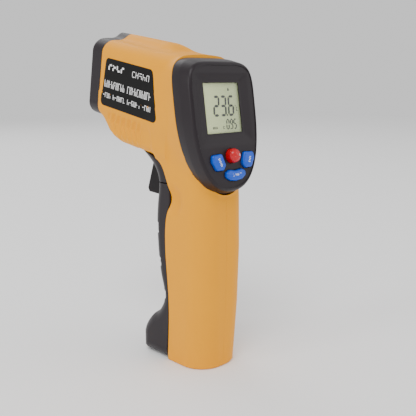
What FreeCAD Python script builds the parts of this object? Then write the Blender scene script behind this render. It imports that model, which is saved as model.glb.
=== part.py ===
"""Hand-held infrared thermometer: a pistol-shaped instrument as an assembly of separate pieces.

Frame, in millimetres: +Z up, origin at the middle of the handle's flat foot, on which the instrument stands.
+Y points forwards, the way the nose and its lens look, and +X to the user's right.
Two tilted frames carry what is not square to that one. The barrel frame has its origin at the middle of the
nose's front face and its +Y along the barrel. The display frame has its origin at the middle of the liquid
crystal glass, and its -Y points out of the display, towards the user.
"""

import FreeCAD, Part

import math
import os

from FreeCAD import Placement, Rotation, Vector

# ---------------------------------------------------------------- driving dimensions
BARREL_PITCH = 10.2  # degrees that the barrel points up when the handle stands upright
DISPLAY_TILT = 8.3  # degrees that the top of the display leans forwards
NOSE_Y, NOSE_Z = 63.4, 142.6  # middle of the nose's front face
LCD_Y, LCD_Z = -17.3, 128.3  # middle of the liquid crystal glass
WALL = 2.2  # wall of the two housings
THIN = 1.8  # wall of the black mouldings
GAP = 0.25  # joint line between neighbouring mouldings

BARREL_HALF = 17.9
BARREL_TOP, BARREL_BOTTOM = 20.6, -18.9
BARREL_RADIUS = 6.5
NOSE_DEPTH = 9.3  # length of the nose cap along the barrel
HUMP_TOP = 24.4
HUMP_FRONT = (5.6, 1.9)  # half widths of its foot and its crest at the nose
HUMP_BACK = (8.6, 4.2)  # the same where the crest ends
HUMP_FLAT_END, HUMP_END = -43.5, -55.0
CHIN_BOTTOM = -29.2
CHIN_FRONT = -19.9
CHIN_HALF = 16.9
CHIN_RADIUS = 5.0

# Handle sections: height, half width, back face, radius of the back corners
HANDLE = [
    (0.0, 14.9, -18.4, 12.8),
    (18.0, 15.3, -19.5, 12.4),
    (32.0, 15.6, -20.2, 12.0),
    (60.0, 15.8, -20.8, 11.5),
    (85.0, 15.7, -20.5, 11.5),
    (100.0, 15.7, -19.6, 11.5),
    (122.0, 15.7, -17.0, 11.5),
]
HANDLE_FRONT = 9.0  # the handle's own front, ahead of the parting line
GRIP_HALF = 15.5  # half width of the black grip

# Parting line between the yellow housings and the black grip, as (y, z), from the foot up
PARTING = [(6.4, 3.4), (4.7, 30), (6.5, 58), (6.0, 73), (2.9, 84), (5.0, 93), (11.2, 102.6), (26.0, 107.2)]
# Front of the black grip, as (y, z), from under the chin down to the heel
GRIP_FRONT = [
    (27.5, 106.9), (18.9, 100.6), (14.9, 95.2), (14.0, 90), (15.4, 80), (16.0, 70), (15.2, 56),
    (13.6, 45), (11.4, 37), (11.4, 31), (15.2, 24.8), (21.0, 20.4), (25.6, 14.8), (27.9, 8.0), (27.6, 3.4),
]
HEEL_FRONT, HEEL_ROUND = 28.0, 6.8  # the heel in plan: its foremost line and its corners
HEEL_END = 24.6  # where the heel's rounded front meets the foot's plane
GRIP_RADIUS = 5.6
GROOVES = [(65.6, 71.2), (48.5, 53.5), (31.8, 36.6)]  # shallow bands across the grip, as heights
GROOVE_DEPTH = 0.8
DOOR_TOP = 91.6
HINGE_Y, HINGE_Z, HINGE_RADIUS = 9.6, 3.4, 3.2
PIN_RADIUS = 1.0
RUNNING = 0.05  # radial clearance of a pin in the piece that turns on it

TRIGGER_HALF = 5.4
SLOT_HALF = 5.9
PIVOT_Y, PIVOT_Z = 19.4, 101.6

# Display pod: half width, top, bottom and depth of each section in the display frame
POD_MIDDLE = -1.5
POD_POWER = 5.0  # how square the upper half of the outline is
RIM = (20.3, 20.6, -38.4, -2.5)
POD_WIDEST = (21.3, 23.4, -40.6, 4.5)
POD_JOINT = (21.5, 24.8, -40.0, 9.4)
POD_BLEND = [(19.6, 23.4, -38.0, 15.5), (17.7, 21.8, -34.0, 22.0), (16.8, 21.0, -31.0, 27.0)]

WINDOW_HALF_X, WINDOW_HALF_Z = 11.1, 11.6
RECESS = (17.3, 15.6, -17.4)  # half width, top and bottom of the sloped recess round the window
FACE_DEPTH = -2.1  # the face inside the raised rim
RIM_WIDTH = 1.3
BOARD_FRONT, BOARD_THICK = 5.2, 1.6
KEY_TOP = -4.4
RED_KEY = (0.0, -22.5, 3.55)  # centre and radius
DOME_FOOT, DOME_TOP = -4.0, -7.0
# Outlines of the right-hand key and the lower key, as (x, z)
SIDE_KEY = [(7.4, -21.1), (13.6, -21.5), (14.0, -24.6), (11.5, -28.8), (6.9, -28.8), (5.3, -26.4)]
LOWER_KEY = [(-6.9, -29.6), (-4.4, -28.5), (0, -29.1), (4.4, -28.5), (6.9, -29.6), (7.0, -31.8),
             (4.2, -33.5), (0, -34.0), (-4.2, -33.5), (-7.0, -31.8)]
KEY_GAP, KEY_FLANGE = 0.2, 0.45

LENS_Z = -2.5  # the optical axis, in the barrel frame
LASER_Z = 16.0
CELL_X, CELL_Y, CELL_BOTTOM = 5.6, 3.0, 22.0
CELL_RADIUS, CELL_LENGTH, NUB_RADIUS, NUB_LENGTH = 5.25, 43.6, 1.9, 0.9
TRAY_BOTTOM, TRAY_TOP = 16.5, 72.5
# Housing screws as (y, z) in the row frame
SCREWS = [(-11.5, 10.0), (-12.5, 58.0), (-9.0, 92.0), (35.5, 115.2), (12.5, 147.0)]

TO_BARREL = Placement(Vector(0, NOSE_Y, NOSE_Z), Rotation(Vector(1, 0, 0), BARREL_PITCH))
TO_DISPLAY = Placement(Vector(0, LCD_Y, LCD_Z), Rotation(Vector(1, 0, 0), -DISPLAY_TILT))
X, Y, Z = Vector(1, 0, 0), Vector(0, 1, 0), Vector(0, 0, 1)
FAR = 200.0


# ---------------------------------------------------------------- helpers
def placed(shape, placement):
    """The shape carried from a tilted frame into the row frame."""
    moved = shape.copy()
    moved.Placement = placement.multiply(moved.Placement)
    return moved


def box(x0, x1, y0, y1, z0, z1):
    return Part.makeBox(x1 - x0, y1 - y0, z1 - z0, Vector(x0, y0, z0))


def rod(radius, start, end):
    """A cylinder from one point to another."""
    axis = Vector(*end) - Vector(*start)
    return Part.makeCylinder(radius, axis.Length, Vector(*start), axis)


def fuse(first, *others):
    return first.fuse(list(others)).removeSplitter()


def both_sides(shape):
    """The shape and its mirror image across the plane of symmetry."""
    return [shape, shape.mirror(Vector(), X)]


def polygon_prism(points, half):
    """A prism with a side profile given as (y, z) points, from -half to +half along X."""
    corners = [Vector(-half, y, z) for y, z in points]
    return Part.Face(Part.makePolygon(corners + corners[:1])).extrude(X * (2 * half))


def rounded_rectangle(x0, x1, z0, z1, radius, y):
    """A closed wire in the plane at y, with four equal corner arcs."""
    edges = []
    corners = [(x1, z1, 0), (x0, z1, 90), (x0, z0, 180), (x1, z0, 270)]
    arcs = []
    for cx, cz, turn in corners:
        mx = cx - math.copysign(radius, cx - (x0 + x1) / 2)
        mz = cz - math.copysign(radius, cz - (z0 + z1) / 2)
        points = []
        for angle in (turn, turn + 45, turn + 90):
            a = math.radians(angle)
            points.append(Vector(mx + radius * math.cos(a), y, mz + radius * math.sin(a)))
        arcs.append(points)
    for index, points in enumerate(arcs):
        edges.append(Part.Arc(*points).toShape())
        edges.append(Part.makeLine(points[2], arcs[(index + 1) % 4][0]))
    return Part.Wire(edges)


def prism_y(wire, depth):
    """A solid from a wire in a plane across Y, going back by depth."""
    return Part.Face(wire).extrude(Y * -depth)


def egg(half, top, bottom, y, count=40):
    """The display's outline: a squarish upper half above a half ellipse, as a smooth closed wire."""
    points = []
    for step in range(count):
        angle = 2 * math.pi * (step + 0.5) / count
        c, s = math.cos(angle), math.sin(angle)
        power = POD_POWER if s > 0 else 2.0
        reach = top - POD_MIDDLE if s > 0 else POD_MIDDLE - bottom
        x = half * math.copysign(abs(c) ** (2 / power), c)
        z = POD_MIDDLE + reach * math.copysign(abs(s) ** (2 / power), s)
        points.append(Vector(x, y, z))
    curve = Part.BSplineCurve()
    curve.interpolate(points, PeriodicFlag=True)
    return Part.Wire(curve.toShape())


def shrunk(section, by):
    half, top, bottom, y = section
    return half - by, top - by, bottom + by, y


def handle_section(height, half, back, radius, front, inset):
    """A wire round the handle at a height: large back corners and small front ones."""
    half, back = half - inset, back + inset
    radius, small = radius - inset, 1.5
    k = math.sqrt(0.5)

    def p(x, y):
        return Vector(x, y, height)

    back_mid = [(half - radius, back + radius), (-half + radius, back + radius)]
    front_mid = [(-half + small, front - small), (half - small, front - small)]
    (ax, ay), (bx, by) = back_mid
    (cx, cy), (dx, dy) = front_mid
    return Part.Wire([
        Part.Arc(p(half, ay), p(ax + radius * k, ay - radius * k), p(ax, back)).toShape(),
        Part.makeLine(p(ax, back), p(bx, back)),
        Part.Arc(p(bx, back), p(bx - radius * k, by - radius * k), p(-half, by)).toShape(),
        Part.makeLine(p(-half, by), p(-half, cy)),
        Part.Arc(p(-half, cy), p(cx - small * k, cy + small * k), p(cx, front)).toShape(),
        Part.makeLine(p(cx, front), p(dx, front)),
        Part.Arc(p(dx, front), p(dx + small * k, dy + small * k), p(half, dy)).toShape(),
        Part.makeLine(p(half, dy), p(half, ay)),
    ])


def spline_edge(points, x=0.0):
    curve = Part.BSplineCurve()
    curve.interpolate([Vector(x, y, z) for y, z in points])
    return curve.toShape()


def coil(radius, wire, start, length, turns, axis=Z):
    """A helical compression spring standing on start and running along axis."""
    path = Part.makeHelix(length / turns, length, radius)
    ring = Part.Wire(Part.makeCircle(wire, Vector(radius, 0, 0), Vector(0, 1, 0)))
    spring = Part.Wire(path).makePipeShell([ring], True, True)
    spring.Placement = Placement(Vector(*start), Rotation(Z, axis))
    return spring


# ---------------------------------------------------------------- outer form
def barrel_form(inset, front):
    """The barrel as a rounded bar in the row frame, from front backwards, with its hump on top."""
    top, bottom, half = BARREL_TOP - inset, BARREL_BOTTOM + inset, BARREL_HALF - inset
    bar = prism_y(rounded_rectangle(-half, half, bottom, top, BARREL_RADIUS - inset, front), 62)
    return placed(fuse(bar, hump_form(inset, front)), TO_BARREL)


def hump_form(inset, front):
    """The ridge over the laser, widening backwards and sloping into the barrel's top at its end."""
    roof, buried = BARREL_TOP - inset, BARREL_TOP - 9

    def section(y, widths, height):
        wide, narrow = widths[0] - inset * 0.6, widths[1] - inset * 0.4
        points = [(-wide, buried), (-wide, roof), (-narrow, height), (narrow, height), (wide, roof), (wide, buried)]
        corners = [Vector(px, y, pz) for px, pz in points]
        return Part.makePolygon(corners + corners[:1])

    crest = section(HUMP_FLAT_END, HUMP_BACK, HUMP_TOP - inset)
    flat = Part.makeLoft([section(front, HUMP_FRONT, HUMP_TOP - inset), crest], True, True)
    slope = Part.makeLoft([crest, section(HUMP_END + inset, HUMP_BACK, roof + 0.05)], True, True)
    hump = fuse(flat, slope)
    ridge = [e for e in hump.Edges if abs(e.CenterOfMass.z - (HUMP_TOP - inset)) < 1e-3 and e.Length > 20]
    return hump.makeFillet(1.8, ridge)


def chin_form(inset):
    """The part under the barrel, above the trigger: a 45 degree front and a flat underside."""
    low = CHIN_BOTTOM + inset
    shift = inset * 0.6
    profile = [(-NOSE_DEPTH - inset, -8), (-NOSE_DEPTH - inset, BARREL_BOTTOM + 0.2 + shift),
               (CHIN_FRONT - shift, low), (-66, low), (-66, -8)]
    chin = polygon_prism(profile, CHIN_HALF - inset)
    nose_edge = [e for e in chin.Edges if e.BoundBox.XLength > 20
                 and abs(e.CenterOfMass.y - (CHIN_FRONT - shift)) < 0.01]
    chin = chin.makeFillet(7.0, nose_edge)
    low_edges = [e for e in chin.Edges if e.BoundBox.XLength < 0.01
                 and e.CenterOfMass.z < BARREL_BOTTOM + 0.1 + shift and e.CenterOfMass.y > -60]
    return placed(chin.makeFillet(CHIN_RADIUS - inset * 0.7, low_edges), TO_BARREL)


def handle_form(inset, bottom=0.0):
    """The handle as a loft of rounded sections; its front is left plain for the grip to cover."""
    wires = []
    for height, half, back, radius in HANDLE:
        height = bottom if height == 0.0 else height
        front = HANDLE_FRONT + inset * 2
        wires.append(handle_section(height, half, back, radius, front, inset))
    return Part.makeLoft(wires, True, False)


def pod_form(inset, front):
    """The flare that joins the barrel and the handle to the display bezel."""
    first = POD_JOINT[:3] + (front,)
    wires = [egg(*shrunk(section, inset)) for section in [first] + POD_BLEND]
    return placed(Part.makeLoft(wires, True, False), TO_DISPLAY)


def bezel_zone():
    """The room that the display bezel takes: everything in front of the joint, within its outline."""
    half, top, bottom, joint = POD_JOINT
    outline = egg(half + 0.6, top + 1.5, POD_WIDEST[2] - 0.3, joint)
    return placed(prism_y(outline, 40), TO_DISPLAY)


def grip_zone(clearance):
    """Everything in front of the parting line, up to the chin, as a thick slab across X."""
    line = [(y - clearance, z + clearance * rise) for (y, z), rise in zip(PARTING, [0] + [1] * len(PARTING))]
    y0, z0 = line[0]
    y1, z1 = line[-1]
    lower = spline_edge(line, -30.0)
    loop = [lower]
    corners = [(y1, z1), (60, z1 - 2), (60, -20), (y0, -20), (y0, z0)]
    for (ay, az), (by, bz) in zip(corners, corners[1:]):
        loop.append(Part.makeLine(Vector(-30, ay, az), Vector(-30, by, bz)))
    return Part.Face(Part.Wire(loop)).extrude(X * 60)


def housing_outer():
    """The outside of the body: its forms are each cut back to the bezel's joint before they are joined."""
    zone = bezel_zone()
    handle, barrel = handle_form(0.0).cut(zone), barrel_form(0.0, -NOSE_DEPTH).cut(zone)
    body = fuse(handle, barrel, chin_form(0.0), pod_form(0.0, POD_JOINT[3]))
    return body.cut(grip_zone(GAP))


def housing_inner():
    """The hollow inside both housings, running out through every opening."""
    handle = handle_form(WALL, bottom=WALL)
    return fuse(handle, barrel_form(WALL, 5.0), chin_form(WALL), pod_form(WALL, POD_JOINT[3] - 6))


# ---------------------------------------------------------------- housings
def screw_posts(side):
    """Posts that meet at the middle: the left ones take the thread, the right ones hold the heads."""
    posts = []
    for y, z in SCREWS:
        reach = 22 * side
        posts.append(rod(3.4, (0, y, z), (reach, y, z)))
    return posts


def inner_ribs(side):
    """Rails inside one housing: grooves for the switch board and stops beside the battery tray."""
    groove = box(-8.2, 8.2, 0.8, 2.6, 60, 120)
    ribs = [box(7.6, 18, 0.0, 3.4, 84.0, 97.0).cut(groove)]
    for z in (26.0, 44.0, 66.0):
        ribs.append(box(13.1, 18, -3.9, 3.0, z, z + 1.4))
    return ribs if side > 0 else [rib.mirror(Vector(), X) for rib in ribs]


def screw_holes(side):
    holes = []
    for y, z in SCREWS:
        if side < 0:
            holes.append(rod(1.1, (0.1, y, z), (-7.5, y, z)))
        else:
            holes.append(rod(1.3, (-0.1, y, z), (6.5, y, z)))
            holes.append(rod(2.4, (6.0, y, z), (30, y, z)))
    return holes


def label_outline(margin, x):
    """The side label's four-cornered outline in the barrel frame, on the plane at x."""
    corners = [(-13.6, 12.4), (-11.6, -12.0), (-58.2, -12.0), (-50.6, 12.4)]
    mid_y = sum(y for y, _ in corners) / 4
    points = [Vector(x, y + math.copysign(margin, y - mid_y), z + math.copysign(margin, z)) for y, z in corners]
    return Part.Face(Part.makePolygon(points + points[:1]))


def label_solid(margin, x0, x1):
    plate = label_outline(margin, x0).extrude(X * (x1 - x0))
    upright = [e for e in plate.Edges if e.BoundBox.XLength > abs(x1 - x0) / 2]
    return placed(plate.makeFillet(2.4, upright), TO_BARREL)


def finger_scoop(side):
    """A shallow hollow beside the door's edge, where a finger pulls the door."""
    return Part.makeSphere(9.5, Vector(side * (HANDLE[4][1] + 7.9), -0.5, 84.0))


def left_halves():
    """The left half of the body as a full solid, and the same hollowed out."""
    solid_half = housing_outer().common(box(-FAR, 0, -FAR, FAR, -FAR, FAR))
    return solid_half, solid_half.cut(housing_inner())


def housing(side, solid_half, shell):
    """One housing with its posts, ribs, label pocket and scoop: side -1 is left and +1 is right."""
    if side > 0:
        solid_half, shell = solid_half.mirror(Vector(), X), shell.mirror(Vector(), X)
    for inside in screw_posts(side) + inner_ribs(side):
        shell = shell.fuse(inside.common(solid_half))
    pocket_x = sorted((side * (BARREL_HALF - 0.3), side * (BARREL_HALF + 3)))
    for tool in screw_holes(side) + [label_solid(0.12, *pocket_x), finger_scoop(side)]:
        shell = shell.cut(tool)
    return shell


def housing_screws():
    """Cross-recessed self-tapping screws, with their heads in the right-hand housing."""
    screws = []
    for y, z in SCREWS:
        head = rod(2.1, (6.5, y, z), (8.3, y, z))
        rim = [e for e in head.Edges if abs(e.CenterOfMass.x - 8.3) < 0.01]
        head = head.makeFillet(0.6, rim)
        cross = fuse(box(7.4, 9, y - 1.3, y + 1.3, z - 0.25, z + 0.25),
                     box(7.4, 9, y - 0.25, y + 0.25, z - 1.3, z + 1.3))
        shank = rod(1.1, (-6.5, y, z), (6.5, y, z))
        screws.append(fuse(head.cut(cross), shank))
    return Part.makeCompound(screws)


# ---------------------------------------------------------------- nose and optics
def nose_cap():
    """The black cap that closes the barrel's front, with a funnel for the lens and a hole for the laser."""
    bar = prism_y(rounded_rectangle(-BARREL_HALF, BARREL_HALF, BARREL_BOTTOM, BARREL_TOP, BARREL_RADIUS, 0), 9.3)
    outer = fuse(bar, hump_form(0.0, 0.0).common(box(-30, 30, -NOSE_DEPTH, 5, -40, 40)))
    front = [e for e in outer.Edges if abs(e.CenterOfMass.y) < 1e-3 and e.BoundBox.YLength < 1e-3]
    outer = outer.makeFillet(1.2, front)
    half, low, high = BARREL_HALF - THIN, BARREL_BOTTOM + THIN, BARREL_TOP - THIN
    hollow = prism_y(rounded_rectangle(-half, half, low, high, BARREL_RADIUS - THIN, -2.4), 20)
    laser_bay = box(-3.6, 3.6, -30, -2.4, 10, BARREL_TOP + 0.4)
    cup = outer.cut(fuse(hollow, laser_bay))
    at = Vector(0, 0, LENS_Z)
    collar = Part.makeCylinder(11.6, 7.0, Vector(0, -7.0, LENS_Z), Y)
    funnel = Part.makeCone(7.4, 10.2, 7.3, at - Y * 7.2, Y)
    laser_tube = rod(4.2, (0, -4.5, LASER_Z), (0, -1.0, LASER_Z))
    cap = fuse(cup, collar, laser_tube)
    cap = cap.cut(fuse(funnel, Part.makeCylinder(7.4, 4, at - Y * 9, Y)))
    mouth = Part.makeCone(2.0, 3.2, 1.6, Vector(0, -1.5, LASER_Z), Y)
    return placed(cap.cut(mouth).cut(rod(2.0, (0, -5, LASER_Z), (0, -1.4, LASER_Z))), TO_BARREL)


def lens_ring():
    ring = rod(8.9, (0, -9.2, LENS_Z), (0, -7.1, LENS_Z)).cut(rod(6.6, (0, -9.3, LENS_Z), (0, -7.0, LENS_Z)))
    return placed(ring, TO_BARREL)


def ir_lens():
    """The moulded infrared lens: a shallow dome with a flat back."""
    radius, sag = 7.6, 1.5
    curve = (radius**2 + sag**2) / (2 * sag)
    dome = Part.makeSphere(curve, Vector(0, -11.3 + sag - curve + 0.4, LENS_Z))
    disc = rod(radius, (0, -11.3, LENS_Z), (0, -9.3, LENS_Z))
    return placed(disc.common(dome), TO_BARREL)


def optics_tube():
    """The baffle tube from the lens to the detector, with steps that stop stray rays."""
    tube = rod(8.9, (0, -36.0, LENS_Z), (0, -9.3, LENS_Z))
    seat = rod(7.7, (0, -11.4, LENS_Z), (0, -9.2, LENS_Z))
    bore = rod(6.6, (0, -30.0, LENS_Z), (0, -11.0, LENS_Z))
    end = rod(4.9, (0, -36.1, LENS_Z), (0, -29.9, LENS_Z))
    return placed(tube.cut(fuse(seat, bore, end)), TO_BARREL)


def optics_bracket():
    """A plate across the barrel that holds the optics tube and the laser."""
    half, low, high = BARREL_HALF - WALL - 0.1, BARREL_BOTTOM + WALL + 0.1, BARREL_TOP - WALL - 0.1
    plate = prism_y(rounded_rectangle(-half, half, low, high, 4.0, -15.0), 2.0)
    crest = box(-3.4, 3.4, -17.0, -15.0, high - 1, LASER_Z + 4.2)
    saddle = rod(4.2, (0, -21.0, LASER_Z), (0, -15.0, LASER_Z))
    body = fuse(plate, crest, saddle.cut(box(-9, 9, -30, 0, LASER_Z + 4.0, 40)))
    body = body.cut(rod(8.9, (0, -30, LENS_Z), (0, 0, LENS_Z)))
    return placed(body.cut(rod(3.0, (0, -30, LASER_Z), (0, 0, LASER_Z))), TO_BARREL)


def thermopile():
    """The detector in its metal can, with four leads."""
    can = fuse(rod(4.1, (0, -34.6, LENS_Z), (0, -31.0, LENS_Z)), rod(4.7, (0, -35.2, LENS_Z), (0, -34.5, LENS_Z)))
    can = can.cut(rod(1.6, (0, -31.4, LENS_Z), (0, -30.9, LENS_Z)))
    for x, z in ((1.8, 1.8), (-1.8, 1.8), (1.8, -1.8), (-1.8, -1.8)):
        can = can.fuse(rod(0.22, (x, -38.0, LENS_Z + z), (x, -35.0, LENS_Z + z)))
    return placed(can, TO_BARREL)


def thermopile_filter():
    return placed(rod(1.55, (0, -31.35, LENS_Z), (0, -31.05, LENS_Z)), TO_BARREL)


def sensor_board():
    board = box(-9.5, 9.5, -37.2, -36.0, LENS_Z - 9.5, LENS_Z + 9.5)
    for x, z in ((1.8, 1.8), (-1.8, 1.8), (1.8, -1.8), (-1.8, -1.8)):
        board = board.cut(rod(0.3, (x, -38, LENS_Z + z), (x, -35, LENS_Z + z)))
    return placed(board, TO_BARREL)


def laser_module():
    """The laser pointer's brass barrel, with its front bore."""
    body = rod(3.0, (0, -21.0, LASER_Z), (0, -6.2, LASER_Z))
    return placed(body.cut(rod(1.9, (0, -8.4, LASER_Z), (0, -6.1, LASER_Z))), TO_BARREL)


def laser_lens():
    return placed(rod(1.85, (0, -8.3, LASER_Z), (0, -7.3, LASER_Z)), TO_BARREL)


# ---------------------------------------------------------------- display
BOARD_POSTS = [(14.9, 13.6), (-14.9, 13.6), (14.9, -14.6), (-14.9, -14.6)]


def display_bezel():
    """The black pod round the display: a drafted shell with a raised rim, a sloped recess and key holes."""
    outer = Part.makeLoft([egg(*RIM), egg(*POD_WIDEST), egg(*POD_JOINT)], True, False)
    rim_edge = [e for e in outer.Edges if abs(e.CenterOfMass.y - RIM[3]) < 0.01]
    outer = outer.makeFillet(0.9, rim_edge)
    inner_front = shrunk(RIM, 1.7)[:3] + (-0.5,)
    inner_back = shrunk(POD_JOINT, 2.0)[:3] + (POD_JOINT[3] + 0.1,)
    inner = Part.makeLoft([egg(*inner_front), egg(*shrunk(POD_WIDEST, 2.0)), egg(*inner_back)], True, False)
    shell = outer.cut(inner)
    face = egg(*(shrunk(RIM, RIM_WIDTH)[:3] + (FACE_DEPTH,)))
    shell = shell.cut(prism_y(face, 5))
    half, top, low = RECESS
    wide = rounded_rectangle(-half, half, low, top, 3.0, FACE_DEPTH - 0.01)
    deep = rounded_rectangle(-WINDOW_HALF_X - 0.8, WINDOW_HALF_X + 0.8, -WINDOW_HALF_Z - 0.8,
                             WINDOW_HALF_Z + 0.8, 0.8, -1.1)
    shell = shell.cut(Part.makeLoft([wide, deep], True, True))
    shell = shell.cut(box(-WINDOW_HALF_X, WINDOW_HALF_X, -3, 3, -WINDOW_HALF_Z, WINDOW_HALF_Z))
    for index in range(4):
        shell = shell.cut(prism_y(key_outline(index, -3.0, KEY_GAP), -6))
    for x, z in BOARD_POSTS:
        post = rod(1.9, (x, -1.0, z), (x, BOARD_FRONT, z)).cut(rod(0.8, (x, 1.0, z), (x, 9, z)))
        shell = shell.fuse(post)
    return placed(shell, TO_DISPLAY)


def rounded_polygon(points, y, radius):
    """A closed wire in the plane at y through straight sides and rounded corners."""
    corners = [Vector(px, y, pz) for px, pz in points]
    block = Part.Face(Part.makePolygon(corners + corners[:1])).extrude(Y)
    block = block.makeFillet(radius, [e for e in block.Edges if e.BoundBox.YLength > 0.5])
    flat = [f for f in block.Faces if abs(f.CenterOfMass.y - y) < 1e-6]
    return flat[0].OuterWire


def key_outline(index, y, margin=0.0):
    """The outline of the red, left, right or lower key in the plane at y, grown by margin."""
    if index == 0:
        x, z, radius = RED_KEY
        return Part.Wire(Part.makeCircle(radius + margin, Vector(x, y, z), Y))
    mirrored = [(-px, pz) for px, pz in SIDE_KEY]
    points, radius = ((mirrored, 1.3), (SIDE_KEY, 1.3), (LOWER_KEY, 0.9))[index - 1]
    wire = rounded_polygon(points, y, radius)
    return wire.makeOffset2D(margin) if margin else wire


def key_centre(index):
    return Part.Face(key_outline(index, 0.0)).CenterOfMass


def key(index):
    """One key: a domed cap through the face, a flange behind it and a stem towards the board."""
    if index == 0:
        x, z, radius = RED_KEY
        rise = DOME_FOOT - DOME_TOP
        curve = (radius**2 + rise**2) / (2 * rise)
        cap = rod(radius, (x, DOME_TOP, z), (x, 0.4, z))
        cap = cap.common(Part.makeSphere(curve, Vector(x, DOME_TOP + curve, z)).fuse(
            rod(radius + 1, (x, DOME_FOOT, z), (x, 1, z))))
    else:
        cap = Part.Face(key_outline(index, KEY_TOP)).extrude(Y * (0.4 - KEY_TOP))
        top = [e for e in cap.Edges if abs(e.CenterOfMass.y - KEY_TOP) < 0.01 and e.BoundBox.YLength < 0.01]
        cap = cap.makeFillet(0.8, top)
    flange = Part.Face(key_outline(index, -0.3, KEY_FLANGE)).extrude(Y * 0.7)
    flange = flange.common(prism_y(egg(*(shrunk(RIM, 2.2)[:3] + (1.0,))), 3))
    centre = key_centre(index)
    stem = rod(1.8, (centre.x, 0.3, centre.z), (centre.x, 3.9, centre.z))
    return placed(fuse(cap, flange, stem), TO_DISPLAY)


def key_pill(index):
    """The carbon pill under a key, which closes the contact on the board."""
    centre = key_centre(index)
    return placed(rod(1.7, (centre.x, 3.9, centre.z), (centre.x, 4.3, centre.z)), TO_DISPLAY)


def keypad_mat():
    """The rubber sheet that carries the keys, with a collar round each stem."""
    mat = prism_y(rounded_rectangle(-15.0, 15.0, -35.0, -18.6, 4.0, 2.2), 0.9)
    mat = mat.common(prism_y(egg(17.2, 17.0, -35.2, 3.0), 4))
    centres = [key_centre(index) for index in range(4)]
    for centre in centres:
        mat = mat.fuse(rod(2.8, (centre.x, 1.5, centre.z), (centre.x, 3.4, centre.z)))
    for centre in centres:
        mat = mat.cut(rod(2.1, (centre.x, 0, centre.z), (centre.x, 5, centre.z)))
    return placed(mat.removeSplitter(), TO_DISPLAY)


def display_window():
    pane = box(-12.3, 12.3, -0.9, -0.1, -12.6, 12.6)
    return placed(pane.cut(box(-20, 20, -3, -0.5, -30, 30)), TO_DISPLAY)


def lcd_glass():
    return placed(box(-12.0, 12.0, 0.0, 2.0, -12.6, 12.6), TO_DISPLAY)


def lcd_backlight():
    return placed(box(-12.0, 12.0, 2.1, 4.4, -10.4, 12.6), TO_DISPLAY)


def lcd_frame():
    ring = box(-12.9, 12.9, 0.2, 5.1, -13.4, 13.4).cut(box(-12.1, 12.1, -1, 6, -12.7, 12.7))
    return placed(ring, TO_DISPLAY)


def lcd_connector():
    return placed(box(-11.5, 11.5, 2.0, 5.2, -12.5, -10.6), TO_DISPLAY)


def main_board():
    back = BOARD_FRONT + BOARD_THICK
    board = prism_y(egg(17.6, 18.0, -34.6, back), BOARD_THICK)
    for x, z in BOARD_POSTS:
        board = board.cut(rod(1.0, (x, 4, z), (x, 9, z)))
    return placed(board, TO_DISPLAY)


def board_screws():
    screws = []
    for x, z in BOARD_POSTS:
        back = BOARD_FRONT + BOARD_THICK
        head = rod(1.6, (x, back, z), (x, back + 1.2, z))
        slot = fuse(box(x - 1, x + 1, back + 0.6, back + 2, z - 0.2, z + 0.2),
                    box(x - 0.2, x + 0.2, back + 0.6, back + 2, z - 1, z + 1))
        screws.append(fuse(head.cut(slot), rod(0.8, (x, 1.4, z), (x, back, z))))
    return placed(Part.makeCompound(screws), TO_DISPLAY)


def board_chips():
    """The processor, the amplifier, the crystal and small parts on the back of the board."""
    back = BOARD_FRONT + BOARD_THICK
    parts = [
        box(-5, 5, back, back + 1.5, -2, 8),
        box(-12, -7, back, back + 1.4, 2, 7),
        box(7.5, 12.5, back, back + 1.4, -6, -2),
        rod(1.5, (-10, back + 1.6, -9), (-3, back + 1.6, -9)).common(box(-20, 20, back, 20, -20, 20)),
    ]
    for column in range(5):
        parts.append(box(-9 + 3.2 * column, -7.4 + 3.2 * column, back, back + 0.6, 11.6, 12.6))
    return placed(Part.makeCompound(parts), TO_DISPLAY)


def piezo_buzzer():
    back = BOARD_FRONT + BOARD_THICK
    can = rod(5.2, (1.0, back, -19.0), (1.0, back + 3.2, -19.0))
    return placed(can.cut(rod(0.9, (1.0, back + 1.5, -19.0), (1.0, back + 4, -19.0))), TO_DISPLAY)


# ---------------------------------------------------------------- grip, door and trigger
def grip_profile(shift=0.0):
    """The side profile of the whole black grip: front curve, foot, hinge corner and parting line."""
    front = [(y - shift, z) for y, z in GRIP_FRONT]
    corner = HINGE_RADIUS
    k = math.sqrt(0.5)

    def p(y, z):
        return Vector(0, y, z)

    y_end, z_end = front[-1]
    edges = [
        spline_edge(front),
        Part.Arc(p(y_end, z_end), p(y_end - 1.0, 1.0), p(HEEL_END - shift, 0)).toShape(),
        Part.makeLine(p(HEEL_END - shift, 0), p(HINGE_Y, HINGE_Z - corner)),
        Part.Arc(p(HINGE_Y, HINGE_Z - corner), p(HINGE_Y - corner * k, HINGE_Z - corner * k),
                 p(HINGE_Y - corner, HINGE_Z)).toShape(),
        spline_edge(PARTING),
        Part.makeLine(p(*PARTING[-1]), p(*front[0])),
    ]
    return Part.Face(Part.Wire(edges))


def grip_form():
    """The whole black grip as one rounded solid, before it is split into surround and door."""
    profile = grip_profile()
    profile.translate(X * -GRIP_HALF)
    grip = profile.extrude(X * (2 * GRIP_HALF))
    front = []
    for edge in grip.Edges:
        middle = edge.CenterOfMass
        on_side = edge.BoundBox.XLength < 0.01 and abs(abs(middle.x) - GRIP_HALF) < 0.01
        if on_side and edge.Length > 90 and middle.y > 10:
            front.append(edge)
    plan = box(-GRIP_HALF, GRIP_HALF, -40, HEEL_FRONT, -5, 120)
    corners = [e for e in plan.Edges if e.BoundBox.ZLength > 100 and e.CenterOfMass.y > 0]
    return grip.makeFillet(GRIP_RADIUS, front).common(plan.makeFillet(HEEL_ROUND, corners))


def trigger_slot():
    return box(-SLOT_HALF, SLOT_HALF, -10, 60, 80.4, 106.0)


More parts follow.
